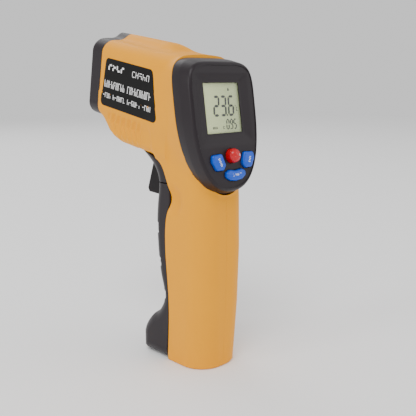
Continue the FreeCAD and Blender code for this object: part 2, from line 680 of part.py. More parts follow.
def grip_hollow():
    """The space inside the grip, open at the back towards the batteries."""
    points = [(y - THIN - 0.2, z) for y, z in GRIP_FRONT]
    inner = [(-20, 1.5), (points[-1][0] - 1.5, 1.5)] + points[::-1][:-2] + [(points[1][0] - 6, 103), (-20, 103)]
    return polygon_prism(inner, GRIP_HALF - THIN)


def battery_door():
    """The hinged front of the handle, with its heel, its grooves, its hinge bosses and its finger notch."""
    door = grip_form().common(box(-FAR, FAR, -FAR, FAR, -5, DOOR_TOP))
    door = door.cut(grip_hollow().common(box(-FAR, FAR, -FAR, FAR, -5, DOOR_TOP - THIN)))
    for low, high in GROOVES:
        face = grip_profile(shift=GROOVE_DEPTH)
        face.translate(X * -20)
        keep = face.extrude(X * 40)
        band = box(-10.5, 10.5, 5, 40, low, high)
        door = door.cut(band.cut(keep))
    door = door.cut(trigger_slot())
    for side in (-1, 1):
        door = door.fuse(rod(HINGE_RADIUS - 0.4, (side * 11.3, HINGE_Y, HINGE_Z), (side * 14, HINGE_Y, HINGE_Z)))
    door = door.cut(rod(HINGE_RADIUS - 0.6, (-11.3, HINGE_Y, HINGE_Z), (11.3, HINGE_Y, HINGE_Z)))
    for arm_slot in both_sides(box(8.3, 11.3, 4.0, HINGE_Y, -1.0, 6.0)):
        door = door.cut(arm_slot)
    door = door.cut(rod(PIN_RADIUS + RUNNING, (-14, HINGE_Y, HINGE_Z), (14, HINGE_Y, HINGE_Z)))
    return door.removeSplitter()


def door_pin():
    return rod(PIN_RADIUS, (-13.8, HINGE_Y, HINGE_Z), (13.8, HINGE_Y, HINGE_Z))


def trigger_surround():
    """The fixed black arch above the door, with the slot and the seats of the trigger's pin."""
    arch = grip_form().common(box(-FAR, FAR, -FAR, FAR, DOOR_TOP + 0.4, FAR))
    hollow = polygon_prism([(-20, 80), (11.6, 80), (11.6, 94.5), (15.2, 99), (19, 102), (19, 104.2), (-20, 104.2)],
                           GRIP_HALF - THIN)
    arch = arch.cut(hollow)
    for side in (-1, 1):
        x0, x1 = sorted((side * SLOT_HALF, side * (SLOT_HALF + 2.4)))
        cheek = box(x0, x1, 4, 24, 94, 105).common(grip_form())
        arch = arch.fuse(cheek.common(box(-FAR, FAR, 8, FAR, DOOR_TOP + 0.4, FAR)))
    arch = arch.cut(trigger_slot())
    return arch.cut(trigger_pin()).removeSplitter()


def trigger_pin():
    half = SLOT_HALF + 1.8
    return rod(PIN_RADIUS, (-half, PIVOT_Y, PIVOT_Z), (half, PIVOT_Y, PIVOT_Z))


def trigger():
    """The trigger lever: it hangs from its pin and its lower end swings back into the grip."""
    profile = [(22.5, 104.4), (26.0, 104.0), (32.3, 85.4), (31.2, 83.4), (12.2, 82.2), (10.6, 84.0),
               (10.6, 92.0), (15.6, 101.0), (17.5, 104.0)]
    lever = polygon_prism(profile, TRIGGER_HALF)
    ends = {(32.3, 85.4): 1.2, (31.2, 83.4): 1.0, (22.5, 104.4): 0.8, (26.0, 104.0): 0.8}
    for (y, z), radius in ends.items():
        along = [e for e in lever.Edges if e.BoundBox.XLength > 5
                 and abs(e.CenterOfMass.y - y) < 0.01 and abs(e.CenterOfMass.z - z) < 0.01]
        lever = lever.makeFillet(radius, along)
    sides = [e for e in lever.Edges if e.BoundBox.XLength < 0.01 and e.CenterOfMass.y > 26]
    lever = lever.makeFillet(0.8, sides)
    spring_seat = rod(2.0, (0, 9, 85.4), (0, 13.4, 85.4))
    return lever.cut(spring_seat).cut(rod(PIN_RADIUS + RUNNING, (-9, PIVOT_Y, PIVOT_Z), (9, PIVOT_Y, PIVOT_Z)))


def trigger_spring():
    return coil(1.5, 0.22, (0, 2.9, 85.4), 10.0, 8, axis=Y)


def switch_board():
    return box(-8.0, 8.0, 1.0, 2.4, 79.5, 98.0).cut(rod(0.6, (0, 0, 96.8), (0, 4, 96.8)))


def trigger_switch():
    """The push switch that the trigger works, on its own small board."""
    return box(-3.0, 3.0, 2.4, 6.6, 88.4, 94.4).cut(rod(1.25, (0, 4.2, 91.4), (0, 7, 91.4)))


def switch_plunger():
    return rod(1.2, (0, 6.2, 91.4), (0, 10.45, 91.4))


# ---------------------------------------------------------------- power
def battery_tray():
    """The open trough that holds two cells, with end walls and the ears of the door's hinge."""
    tray = box(-12.9, 12.9, -3.9, 4.0, TRAY_BOTTOM, TRAY_TOP)
    tray = tray.cut(box(-11.7, 11.7, -2.7, 9.0, TRAY_BOTTOM + 1.2, TRAY_TOP - 1.2))
    for z in (30.0, 56.0):
        cradle = box(-11.0, 11.0, -2.8, 0.5, z, z + 1.2)
        for side in (-1, 1):
            cradle = cradle.cut(rod(CELL_RADIUS + 0.1, (side * CELL_X, CELL_Y, z - 1), (side * CELL_X, CELL_Y, z + 3)))
        tray = tray.fuse(cradle)
    for side in (-1, 1):
        x0, x1 = sorted((side * 8.6, side * 11.0))
        arm = Part.Face(Part.makePolygon([Vector(x0, y, z) for y, z in
                                          [(-2, 17), (4, 17), (HINGE_Y + 1.2, HINGE_Z + 1.4), (HINGE_Y, HINGE_Z),
                                           (HINGE_Y - 1.5, HINGE_Z - 1.0), (-2, 17)]])).extrude(X * 2.4)
        ear = rod(2.2, (x0, HINGE_Y, HINGE_Z), (x1, HINGE_Y, HINGE_Z))
        tray = tray.fuse(arm).fuse(ear)
    return tray.cut(door_pin()).removeSplitter()


def battery_cell(side):
    """One AAA cell: the left one has its positive end up and the right one down."""
    x = side * CELL_X
    if side < 0:
        body = rod(CELL_RADIUS, (x, CELL_Y, CELL_BOTTOM), (x, CELL_Y, CELL_BOTTOM + CELL_LENGTH))
        nub_base, nub_tip = CELL_BOTTOM + CELL_LENGTH, CELL_BOTTOM + CELL_LENGTH + NUB_LENGTH
    else:
        start = CELL_BOTTOM + NUB_LENGTH
        body = rod(CELL_RADIUS, (x, CELL_Y, start), (x, CELL_Y, start + CELL_LENGTH))
        nub_base, nub_tip = start, CELL_BOTTOM
    body = body.makeFillet(0.5, [e for e in body.Edges if e.BoundBox.ZLength < 0.01])
    return fuse(body, rod(NUB_RADIUS, (x, CELL_Y, nub_base), (x, CELL_Y, nub_tip)))


def contact_bridge():
    """The plate at the bottom that joins the two cells, with a raised dome under the positive one."""
    plate = box(-9.5, 9.5, -1.5, 7.0, TRAY_BOTTOM + 1.2, TRAY_BOTTOM + 1.6)
    return fuse(plate, rod(2.6, (CELL_X, CELL_Y, TRAY_BOTTOM + 1.6), (CELL_X, CELL_Y, CELL_BOTTOM)))


def contact_positive():
    top = TRAY_TOP - 1.2
    plate = box(-9.5, -1.5, -1.5, 7.0, top - 0.4, top)
    dome = rod(2.6, (-CELL_X, CELL_Y, CELL_BOTTOM + CELL_LENGTH + NUB_LENGTH), (-CELL_X, CELL_Y, top - 0.4))
    return fuse(plate, dome)


def contact_negative():
    top = TRAY_TOP - 1.2
    return box(1.5, 9.5, -1.5, 7.0, top - 0.4, top)


def battery_springs():
    """The two coiled contacts against the cells' flat ends."""
    low = coil(2.9, 0.3, (-CELL_X, CELL_Y, TRAY_BOTTOM + 1.92), CELL_BOTTOM - TRAY_BOTTOM - 2.24, 3)
    cell_end = CELL_BOTTOM + NUB_LENGTH + CELL_LENGTH
    high = coil(2.9, 0.3, (CELL_X, CELL_Y, cell_end + 0.32), TRAY_TOP - 1.6 - cell_end - 0.64, 3)
    return Part.makeCompound([low, high])


def lead(points, radius, bend):
    """A wire along straight runs joined by tangent arcs of one radius."""
    nodes = [Vector(*p) for p in points]
    edges, start = [], nodes[0]
    for before, corner, after in zip(nodes, nodes[1:], nodes[2:]):
        a, b = (before - corner).normalize(), (after - corner).normalize()
        half = a.getAngle(b) / 2
        reach = bend / math.tan(half)
        first, last = corner + a * reach, corner + b * reach
        towards = (a + b).normalize()
        middle = corner + towards * (bend / math.sin(half) - bend)
        edges += [Part.makeLine(start, first), Part.Arc(first, middle, last).toShape()]
        start = last
    edges.append(Part.makeLine(start, nodes[-1]))
    path = Part.Wire(edges)
    ring = Part.Wire(Part.makeCircle(radius, nodes[0], (nodes[1] - nodes[0]).normalize()))
    return path.makePipeShell([ring], True, True)


def battery_lead(side):
    """One lead from a battery contact up the handle to the display board."""
    x = side * 7.5
    return lead([(x, -4.6, 66), (x, -4.6, 101), (x, -11.3, 114)], 0.6, 5.0)


def laser_leads():
    wires = []
    for side in (-1, 1):
        x = side * 1.1
        route = [(x, -21.1, LASER_Z), (x, -31, LASER_Z), (x, -43, 6.5), (x, -70.5, 6.5)]
        wires.append(lead([tuple(TO_BARREL.multVec(Vector(*point))) for point in route], 0.45, 5.0))
    return Part.makeCompound(wires)


def sensor_ribbon():
    """The flat ribbon from the sensor board to the display board."""
    return placed(box(-4.0, 4.0, -74.5, -37.3, LENS_Z - 6.2, LENS_Z - 5.8), TO_BARREL)


# ---------------------------------------------------------------- export
def make_nodes():
    halves = left_halves()
    nodes = {
        "housing_left": housing(-1, *halves),
        "housing_right": housing(1, *halves),
        "housing_screws": housing_screws(),
        "label_left": label_solid(0.0, -BARREL_HALF - 0.1, -BARREL_HALF + 0.3),
        "label_right": label_solid(0.0, BARREL_HALF - 0.3, BARREL_HALF + 0.1),
        "nose_cap": nose_cap(),
        "lens_ring": lens_ring(),
        "ir_lens": ir_lens(),
        "optics_tube": optics_tube(),
        "optics_bracket": optics_bracket(),
        "thermopile": thermopile(),
        "thermopile_filter": thermopile_filter(),
        "sensor_board": sensor_board(),
        "sensor_ribbon": sensor_ribbon(),
        "laser_module": laser_module(),
        "laser_lens": laser_lens(),
        "laser_leads": laser_leads(),
        "display_bezel": display_bezel(),
        "display_window": display_window(),
        "lcd_glass": lcd_glass(),
        "lcd_backlight": lcd_backlight(),
        "lcd_frame": lcd_frame(),
        "lcd_connector": lcd_connector(),
        "main_board": main_board(),
        "board_screws": board_screws(),
        "board_chips": board_chips(),
        "piezo_buzzer": piezo_buzzer(),
        "keypad_mat": keypad_mat(),
        "battery_door": battery_door(),
        "door_pin": door_pin(),
        "trigger_surround": trigger_surround(),
        "trigger": trigger(),
        "trigger_pin": trigger_pin(),
        "trigger_spring": trigger_spring(),
        "trigger_switch": trigger_switch(),
        "switch_plunger": switch_plunger(),
        "switch_board": switch_board(),
        "battery_tray": battery_tray(),
        "battery_cell_left": battery_cell(-1),
        "battery_cell_right": battery_cell(1),
        "contact_bridge": contact_bridge(),
        "contact_positive": contact_positive(),
        "contact_negative": contact_negative(),
        "battery_springs": battery_springs(),
        "battery_lead_red": battery_lead(-1),
        "battery_lead_black": battery_lead(1),
    }
    for index, name in enumerate(("red_key", "left_key", "right_key", "lower_key")):
        nodes[name] = key(index)
        nodes[name + "_pill"] = key_pill(index)
    return nodes


def main():
    os.makedirs("parts", exist_ok=True)
    for name, shape in make_nodes().items():
        shape.exportStep(os.path.join("parts", name + ".step"))
        good = shape.isValid() and all(s.isClosed() for s in shape.Solids)
        print(f"{name}: {len(shape.Solids)} solids, {shape.Volume:.1f} mm3{'' if good else '  NOT VALID'}")


main()
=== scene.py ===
"""The looks of the infrared thermometer, built round its CAD frame.

The moulded pieces are meshed from distance fields: each field is negative inside its piece, and soft blends
between forms come from smooth minima. Fields work in millimetres; meshes are in metres. The nose's field is in
the barrel's own frame, and the display's and the keys' are in the display's. The others are in the row frame.
"""

import math

import bmesh
import bpy
import numpy as np
from mathutils import Matrix, Vector


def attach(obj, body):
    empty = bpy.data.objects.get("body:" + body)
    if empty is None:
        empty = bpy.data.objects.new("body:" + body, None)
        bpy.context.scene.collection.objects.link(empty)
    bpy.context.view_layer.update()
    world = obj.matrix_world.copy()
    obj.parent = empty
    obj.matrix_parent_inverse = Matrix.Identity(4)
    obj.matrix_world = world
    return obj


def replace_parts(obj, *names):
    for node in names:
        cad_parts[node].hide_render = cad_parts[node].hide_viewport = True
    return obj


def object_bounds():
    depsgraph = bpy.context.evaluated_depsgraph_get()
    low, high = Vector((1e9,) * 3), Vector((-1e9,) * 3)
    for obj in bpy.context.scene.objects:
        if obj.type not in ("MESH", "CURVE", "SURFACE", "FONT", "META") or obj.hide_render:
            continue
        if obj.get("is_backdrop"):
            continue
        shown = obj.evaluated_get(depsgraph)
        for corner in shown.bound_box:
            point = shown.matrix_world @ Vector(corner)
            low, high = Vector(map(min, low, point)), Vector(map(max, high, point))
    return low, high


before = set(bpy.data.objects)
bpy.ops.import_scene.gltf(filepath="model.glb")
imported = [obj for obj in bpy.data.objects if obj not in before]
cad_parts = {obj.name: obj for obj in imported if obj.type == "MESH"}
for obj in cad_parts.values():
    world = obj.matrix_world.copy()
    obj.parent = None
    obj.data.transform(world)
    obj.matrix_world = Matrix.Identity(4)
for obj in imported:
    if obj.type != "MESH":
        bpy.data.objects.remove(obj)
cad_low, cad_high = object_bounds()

MM = 0.001

# ---------------------------------------------------------------- dimensions
BARREL_PITCH, DISPLAY_TILT = math.radians(10.2), math.radians(8.3)
NOSE = (63.4, 142.6)  # (y, z) of the middle of the nose's front face
LCD = (-17.3, 128.3)  # (y, z) of the middle of the display glass
WALL = 2.2
BARREL_HALF, BARREL_TOP, BARREL_BOTTOM, BARREL_RADIUS = 17.9, 20.4, -18.9, 6.5
NOSE_DEPTH = 9.3
HANDLE_Z = (0, 18, 32, 60, 85, 100, 122)
HANDLE_HALF = (14.9, 15.3, 15.6, 15.8, 15.7, 15.7, 15.7)
HANDLE_BACK = (-18.4, -19.5, -20.2, -20.8, -20.5, -19.6, -17.0)
HANDLE_ROUND = (12.8, 12.4, 12.0, 11.5, 11.5, 11.5, 11.5)
GRIP_HALF, GRIP_RADIUS = 15.5, 5.6
PARTING = [(6.4, 3.4), (4.7, 30), (6.5, 58), (6.0, 73), (2.9, 84), (5.0, 93), (11.2, 102.6), (26.0, 107.2)]
GRIP_FRONT = [
    (27.5, 106.9), (18.9, 100.6), (14.9, 95.2), (14.0, 90), (15.4, 80), (16.0, 70), (15.2, 56),
    (13.6, 45), (11.4, 37), (11.4, 31), (15.2, 24.8), (21.0, 20.4), (25.6, 14.8), (27.9, 8.0), (27.6, 3.4),
]
GROOVES = [(65.6, 71.2), (48.5, 53.5), (31.8, 36.6)]
DOOR_TOP = 91.6
POD_DEPTHS = (-2.5, 4.5, 9.4)
POD_HALF, POD_TOP, POD_LOW = (21.2, 21.5, 21.5), (20.8, 23.4, 24.8), (-38.6, -40.6, -40.0)
POD_MIDDLE = -1.5
JOINT_DEPTH = 9.4
KEY_TOP = -3.5
KEY_SHIFTS = ((0.75, 0.0), (1.15, 0.0), (1.6, 0.0), (1.9, -0.4))
SIDE_KEY = [(7.4, -21.1), (13.6, -21.5), (14.0, -24.6), (11.5, -28.8), (6.9, -28.8), (5.3, -26.4)]
LOWER_KEY = [(-6.4, -29.6), (-4.1, -28.5), (0, -29.1), (4.1, -28.5), (6.4, -29.6), (6.5, -31.8),
             (3.9, -33.5), (0, -34.0), (-3.9, -33.5), (-6.5, -31.8)]
RED_KEY = (-22.5, 3.35)
LABEL = [(-13.6, 12.4), (-11.6, -12.0), (-58.2, -12.0), (-50.6, 12.4)]


# ---------------------------------------------------------------- fields
def smooth_min(a, b, k):
    h = np.clip(0.5 + 0.5 * (b - a) / k, 0, 1)
    return b + (a - b) * h - k * h * (1 - h)


def smooth_max(a, b, k):
    return -smooth_min(-a, -b, k)


def round_max(a, b, radius):
    """The intersection of two regions with an edge of that radius."""
    u, v = np.maximum(a + radius, 0), np.maximum(b + radius, 0)
    return np.minimum(np.maximum(a, b), -radius) + np.hypot(u, v)


def ramp(value, low, high):
    t = np.clip((value - low) / (high - low), 0, 1)
    return t * t * (3 - 2 * t)


def rounded_box(u, v, half_u, half_v, radius):
    qu, qv = np.abs(u) - half_u + radius, np.abs(v) - half_v + radius
    return np.hypot(np.maximum(qu, 0), np.maximum(qv, 0)) + np.minimum(np.maximum(qu, qv), 0) - radius


def curve(points, steps=8):
    """Points along a smooth curve through the given ones."""
    p = np.array([points[0], *points, points[-1]], float)
    out = []
    for a, b, c, d in zip(p, p[1:], p[2:], p[3:]):
        for t in np.arange(steps) / steps:
            out.append(0.5 * (2 * b + (c - a) * t + (2 * a - 5 * b + 4 * c - d) * t**2
                              + (3 * b - a - 3 * c + d) * t**3))
    return [tuple(q) for q in out] + [tuple(points[-1])]


def rounded(points, radius, steps=6):
    """An outline with its corners rounded."""
    out = []
    n = len(points)
    for i in range(n):
        p, a, b = (np.array(points[k % n], float) for k in (i, i - 1, i + 1))
        u, v = (a - p) / np.linalg.norm(a - p), (b - p) / np.linalg.norm(b - p)
        half = math.acos(np.clip(u @ v, -1, 1)) / 2
        reach = min(radius / math.tan(half), 0.45 * min(np.linalg.norm(a - p), np.linalg.norm(b - p)))
        r = reach * math.tan(half)
        centre = p + (u + v) / np.linalg.norm(u + v) * r / math.sin(half)
        start, end = p + u * reach - centre, p + v * reach - centre
        for t in np.linspace(0, 1, steps):
            q = start * (1 - t) + end * t
            out.append(tuple(centre + q / np.linalg.norm(q) * r))
    return out


def polygon(points, u, v):
    """Signed distance to a closed outline, negative inside."""
    u, v = np.broadcast_arrays(u, v)
    best = np.full(u.shape, 1e9)
    inside = np.zeros(u.shape, bool)
    for (ax, ay), (bx, by) in zip(points, points[1:] + points[:1]):
        ex, ey = bx - ax, by - ay
        t = np.clip(((u - ax) * ex + (v - ay) * ey) / (ex * ex + ey * ey + 1e-12), 0, 1)
        best = np.minimum(best, (u - ax - t * ex) ** 2 + (v - ay - t * ey) ** 2)
        crossing = (ay > v) != (by > v)
        with np.errstate(divide="ignore", invalid="ignore"):
            at = ax + (v - ay) * ex / (ey if ey else 1e-12)
        inside ^= crossing & (u < at)
    return np.where(inside, -1, 1) * np.sqrt(best)


def barrel_frame(y, z):
    c, s = math.cos(BARREL_PITCH), math.sin(BARREL_PITCH)
    y, z = y - NOSE[0], z - NOSE[1]
    return y * c + z * s, z * c - y * s


def display_frame(y, z):
    c, s = math.cos(DISPLAY_TILT), math.sin(DISPLAY_TILT)
    y, z = y - LCD[0], z - LCD[1]
    return y * c - z * s, y * s + z * c


def egg(x, z, half, top, low, roundness=2.0):
    """Roughly the distance to the display's outline: squarish above its middle, elliptical below."""
    upper = z > POD_MIDDLE
    power = np.where(upper, 5.0, roundness)
    a = half
    b = np.where(upper, top - POD_MIDDLE, POD_MIDDLE - low)
    u, v = np.abs(x) / a + 1e-6, np.abs(z - POD_MIDDLE) / b + 1e-6
    rho = (u**power + v**power) ** (1 / power)
    slope = np.hypot((u / rho) ** (power - 1) / a, (v / rho) ** (power - 1) / b)
    return (rho - 1) / slope


def barrel_field(x, yb, zb):
    back = ramp(-yb, 44, 60)
    crown = (0.7 + 0.9 * back) * np.clip(1 - (x / 15.0) ** 2, 0, 1) * ramp(zb, 2, 16)
    middle, tall = (BARREL_TOP + BARREL_BOTTOM) / 2, (BARREL_TOP - BARREL_BOTTOM) / 2
    bar = rounded_box(x, zb - crown - middle, BARREL_HALF, tall, BARREL_RADIUS)
    spread = np.clip((-NOSE_DEPTH - yb) / 34.0, -0.3, 1.0)
    sides = 0.6 * np.abs(x) + 0.8 * zb - (20.0 + 1.95 * spread)
    end = -0.395 * (yb + 46.5) + 0.918 * (zb - 24.45)
    hump = smooth_max(smooth_max(sides, zb - 24.5, 1.6), end, 1.6)
    hump = np.maximum(np.maximum(hump, 14.2 - zb), np.abs(x) - 14.5)
    return smooth_min(bar, hump, 1.3)


def chin_field(x, yb, zb):
    side = np.abs(x) - 17.5 - 0.06 * (zb + 10)
    front = (yb + 9.6) * 0.70 - (zb + 18.4) * 0.71
    shape = round_max(round_max(front, -29.2 - zb, 6.0), side, 4.6)
    shape = smooth_max(shape, yb + NOSE_DEPTH, 0.4)
    return np.maximum(np.maximum(shape, zb + 6), -64 - yb)


def rib_relief(x, yb, zb):
    """Low curved ribs on the chin's cheeks."""
    bend = 0.55 * np.abs(zb + 19.5) - 0.02 * (zb + 19.5) ** 2
    wave = 0.5 + 0.5 * np.cos((yb + bend + 24.0) * 2 * math.pi / 4.3)
    along = ramp(-yb, 16.5, 20) * (1 - ramp(-yb, 43, 47))
    window = along * ramp(zb, -27.5, -24.5) * (1 - ramp(zb, -15.5, -13.8))
    return 0.85 * window * (wave - 0.55)


def handle_field(x, y, z):
    half = np.interp(z, HANDLE_Z, HANDLE_HALF)
    back = np.interp(z, HANDLE_Z, HANDLE_BACK)
    radius = np.interp(z, HANDLE_Z, HANDLE_ROUND)
    qx, qy = np.abs(x) - half + radius, back + radius - y
    plan = np.hypot(np.maximum(qx, 0), np.maximum(qy, 0)) + np.minimum(np.maximum(qx, qy), 0) - radius
    plan = smooth_max(plan, y - 12.5, 1.0)
    return np.maximum(round_max(plan, -z, 0.7), z - 132)


def flare_field(x, yd, zd):
    t = np.clip((yd - JOINT_DEPTH) / 12.1, 0, 1.6)
    half = 21.5 - 3.6 * t + 0.5 * t * t
    low = -40.3 + 5.5 * t
    top = 24.9 - 3.2 * t
    return smooth_max(egg(x, zd, half, top, low), yd - 29, 2)


def body_field(x, y, z):
    """The whole yellow body as if it were solid and uncut."""
    yb, zb = barrel_frame(y, z)
    yd, zd = display_frame(y, z)
    head = smooth_min(barrel_field(x, yb, zb), chin_field(x, yb, zb), 2.2) - rib_relief(x, yb, zb)
    shape = smooth_min(head, handle_field(x, y, z), 4.0)
    return smooth_min(shape, flare_field(x, yd, zd), 2.6)


PARTING_LINE = curve(PARTING)
GRIP_ZONE = PARTING_LINE + [(60, 105.2), (60, -20), (12.0, -20), (12.0, 0.2), (9.6, 0.2), (7.3, 1.1)]
YELLOW_ZONE = PARTING_LINE + [(60, 105.2), (60, -20), (6.4, -20)]
GRIP_OUTLINE = curve(GRIP_FRONT) + [(27.0, 1.3), (24.6, 0.0), (-40, 0.0), (-40, 116), (27.8, 109.5)]


def housing_field(x, y, z):
    body = body_field(x, y, z)
    yb, _ = barrel_frame(y, z)
    yd, zd = display_frame(y, z)
    shell = np.maximum(body, -(body + WALL))
    shell = np.maximum(shell, yb + NOSE_DEPTH + 0.12)
    display_zone = smooth_max(egg(x, zd, 22.1, 26.3, -40.9), yd - JOINT_DEPTH, 3.0 * ramp(-zd, 12, 26) + 0.05)
    shell = np.maximum(shell, -display_zone)
    scoop = np.sqrt((np.abs(x) - 23.9) ** 2 + (y + 0.2) ** 2 + (0.72 * (z - 84.0)) ** 2) - 9.9
    shell = smooth_max(shell, -scoop, 0.8)
    shell = np.maximum(shell, 0.22 - polygon(YELLOW_ZONE, y, z))
    return np.maximum(shell, x + 0.01)


def nose_field(x, yb, zb):
    outer = barrel_field(x, yb, zb)
    cap = round_max(outer, yb, 1.5)
    cap = np.maximum(cap, -NOSE_DEPTH - yb)
    hollow = np.maximum(outer + 1.8, yb + 2.4)
    collar = np.maximum(np.hypot(x, zb + 2.5) - 11.6, -7.0 - yb)
    tube = np.maximum(np.hypot(x, zb - 16.0) - 4.2, -4.5 - yb)
    solid = np.maximum(smooth_min(collar, tube, 0.4), yb + 0.6)
    cap = np.minimum(np.maximum(cap, -hollow), np.maximum(solid, outer + 0.6))
    reach = np.hypot(x, zb + 2.5)
    funnel = np.minimum(reach - 7.4, (reach - 7.4 - (yb + 7.2) * 0.39) * 0.93)
    mouth = np.minimum(np.hypot(x, zb - 16.0) - 2.0, (np.hypot(x, zb - 16.0) - 2.0 - (yb + 1.5) * 0.75) * 0.8)
    return smooth_max(smooth_max(cap, -funnel, 0.4), -mouth, 0.3)


SIDE_OUTLINE, LOWER_OUTLINE = rounded(SIDE_KEY, 1.3, 5), rounded(LOWER_KEY, 0.9, 4)


def key_outline(index, x, z):
    """Signed distance to the red, left, right or lower key's outline in the display's plane."""
    x, z = x - KEY_SHIFTS[index][0], z - KEY_SHIFTS[index][1]
    if index == 0:
        return np.hypot(x, z - RED_KEY[0]) - RED_KEY[1]
    if index == 3:
        return polygon(LOWER_OUTLINE, x, z)
    return polygon(SIDE_OUTLINE, x if index == 2 else -x, z)


def bezel_field(x, yd, zd):
    half, top, low = (np.interp(yd, POD_DEPTHS, v) for v in (POD_HALF, POD_TOP, POD_LOW))
    t = np.clip((yd + 2.5) / 11.9, 0, 1)
    bulge = 0.8 * t * (1 - t)
    side = egg(x, zd, half + bulge, top + bulge, low - bulge, 2.0 + 0.45 * (1 - t))
    outer = round_max(side, -2.5 - yd, 1.5)
    outer = np.maximum(outer, yd - JOINT_DEPTH + 0.12)
    hollow = np.maximum(side + 2.0, -0.6 - yd)
    shell = np.maximum(outer, -hollow)
    face = np.maximum(side + 1.35, yd + 2.1)
    shell = smooth_max(shell, -face, 0.35)
    reach = yd + 2.1
    recess = smooth_max(reach - (17.3 - np.abs(x)) * 0.22, reach - (15.6 - zd) * 0.36, 0.5)
    recess = smooth_max(recess, reach - (zd + 17.4) * 0.24, 0.4)
    recess = np.maximum(recess, yd + 1.0)
    shell = smooth_max(shell, -recess, 0.25)
    shell = np.maximum(shell, -np.maximum(np.abs(x + 0.3) - 11.6, np.abs(zd) - 11.6))
    for index in range(4):
        shell = smooth_max(shell, -(key_outline(index, x, zd) - 0.22), 0.25)
    return shell


def key_field(index):
    def field(x, yd, zd):
        outline = key_outline(index, x, zd)
        if index == 0:
            reach = np.hypot(x - KEY_SHIFTS[0][0], zd - RED_KEY[0])
            dome = np.sqrt(reach**2 + (1.12 * (yd + 3.9)) ** 2) - RED_KEY[1]
            cap = np.where(yd < -3.9, dome, outline)
        else:
            dome = KEY_TOP - 0.55 - yd + 0.035 * (outline + 4) ** 2
            cap = round_max(outline, dome, 0.9)
        cap = np.maximum(cap, yd - 0.4)
        flange = np.maximum(outline - 0.4, np.abs(yd - 0.05) - 0.35)
        return np.minimum(cap, flange)
    return field


def grip_field(x, y, z):
    """The whole black grip as one rounded solid, grooves and all."""
    front = polygon(GRIP_OUTLINE, y, z)
    groove = 0.0
    for low, high in GROOVES:
        groove = groove + ramp(z, low - 0.35, low + 0.35) * (1 - ramp(z, high - 0.35, high + 0.35))
    grip = round_max(front, np.abs(x) - GRIP_HALF, GRIP_RADIUS) + 0.75 * groove * ramp(-np.abs(x), -15.2, -14.7)
    grip = np.maximum(grip, round_max(y - 28.0, np.abs(x) - GRIP_HALF, 6.8))
    grip = round_max(grip, 0.15 - z, 0.6)
    return smooth_max(grip, polygon(GRIP_ZONE, y, z), 0.5)


def slot_field(x, z):
    return np.maximum(np.abs(x) - 5.9, np.maximum(80.4 - z, z - 106))


def door_field(x, y, z):
    grip = grip_field(x, y, z)
    front = polygon(GRIP_OUTLINE, y, z)
    hollow = np.maximum(round_max(front + 2.3, np.abs(x) - 13.5, 4.5), np.maximum(1.7 - z, z - DOOR_TOP + 1.8))
    door = smooth_max(grip, z - DOOR_TOP, 0.3)
    door = np.maximum(door, -hollow)
    return smooth_max(door, -slot_field(x, z), 0.4)


def surround_field(x, y, z):
    grip = grip_field(x, y, z)
    front = polygon(GRIP_OUTLINE, y, z)
    arch = smooth_max(grip, DOOR_TOP + 0.4 - z, 0.3)
    hollow = np.maximum(round_max(front + 2.6, np.abs(x) - 13.5, 4.5), z - 104.2)
    cheeks = np.maximum(np.maximum(np.abs(np.abs(x) - 7.1) - 1.2, y - 24), 8 - y)
    inner = np.maximum(hollow, -cheeks)
    arch = np.maximum(arch, -inner)
    return smooth_max(arch, -slot_field(x, z), 0.4)


TRIGGER_OUTLINE = [(22.5, 104.4), (26.0, 104.0)] + curve([(27.6, 99.3), (29.9, 92.6), (32.3, 85.4)], 5) + [
    (31.2, 83.4), (12.2, 82.2), (10.6, 84.0), (10.6, 92.0), (15.6, 101.0), (17.5, 104.0)]


def trigger_field(x, y, z):
    profile = polygon(TRIGGER_OUTLINE, y, z)
    lever = round_max(profile, np.abs(x) - 5.4, 1.1)
    pin = np.hypot(y - 19.4, z - 101.6) - 1.05
    return np.maximum(lever, -pin)


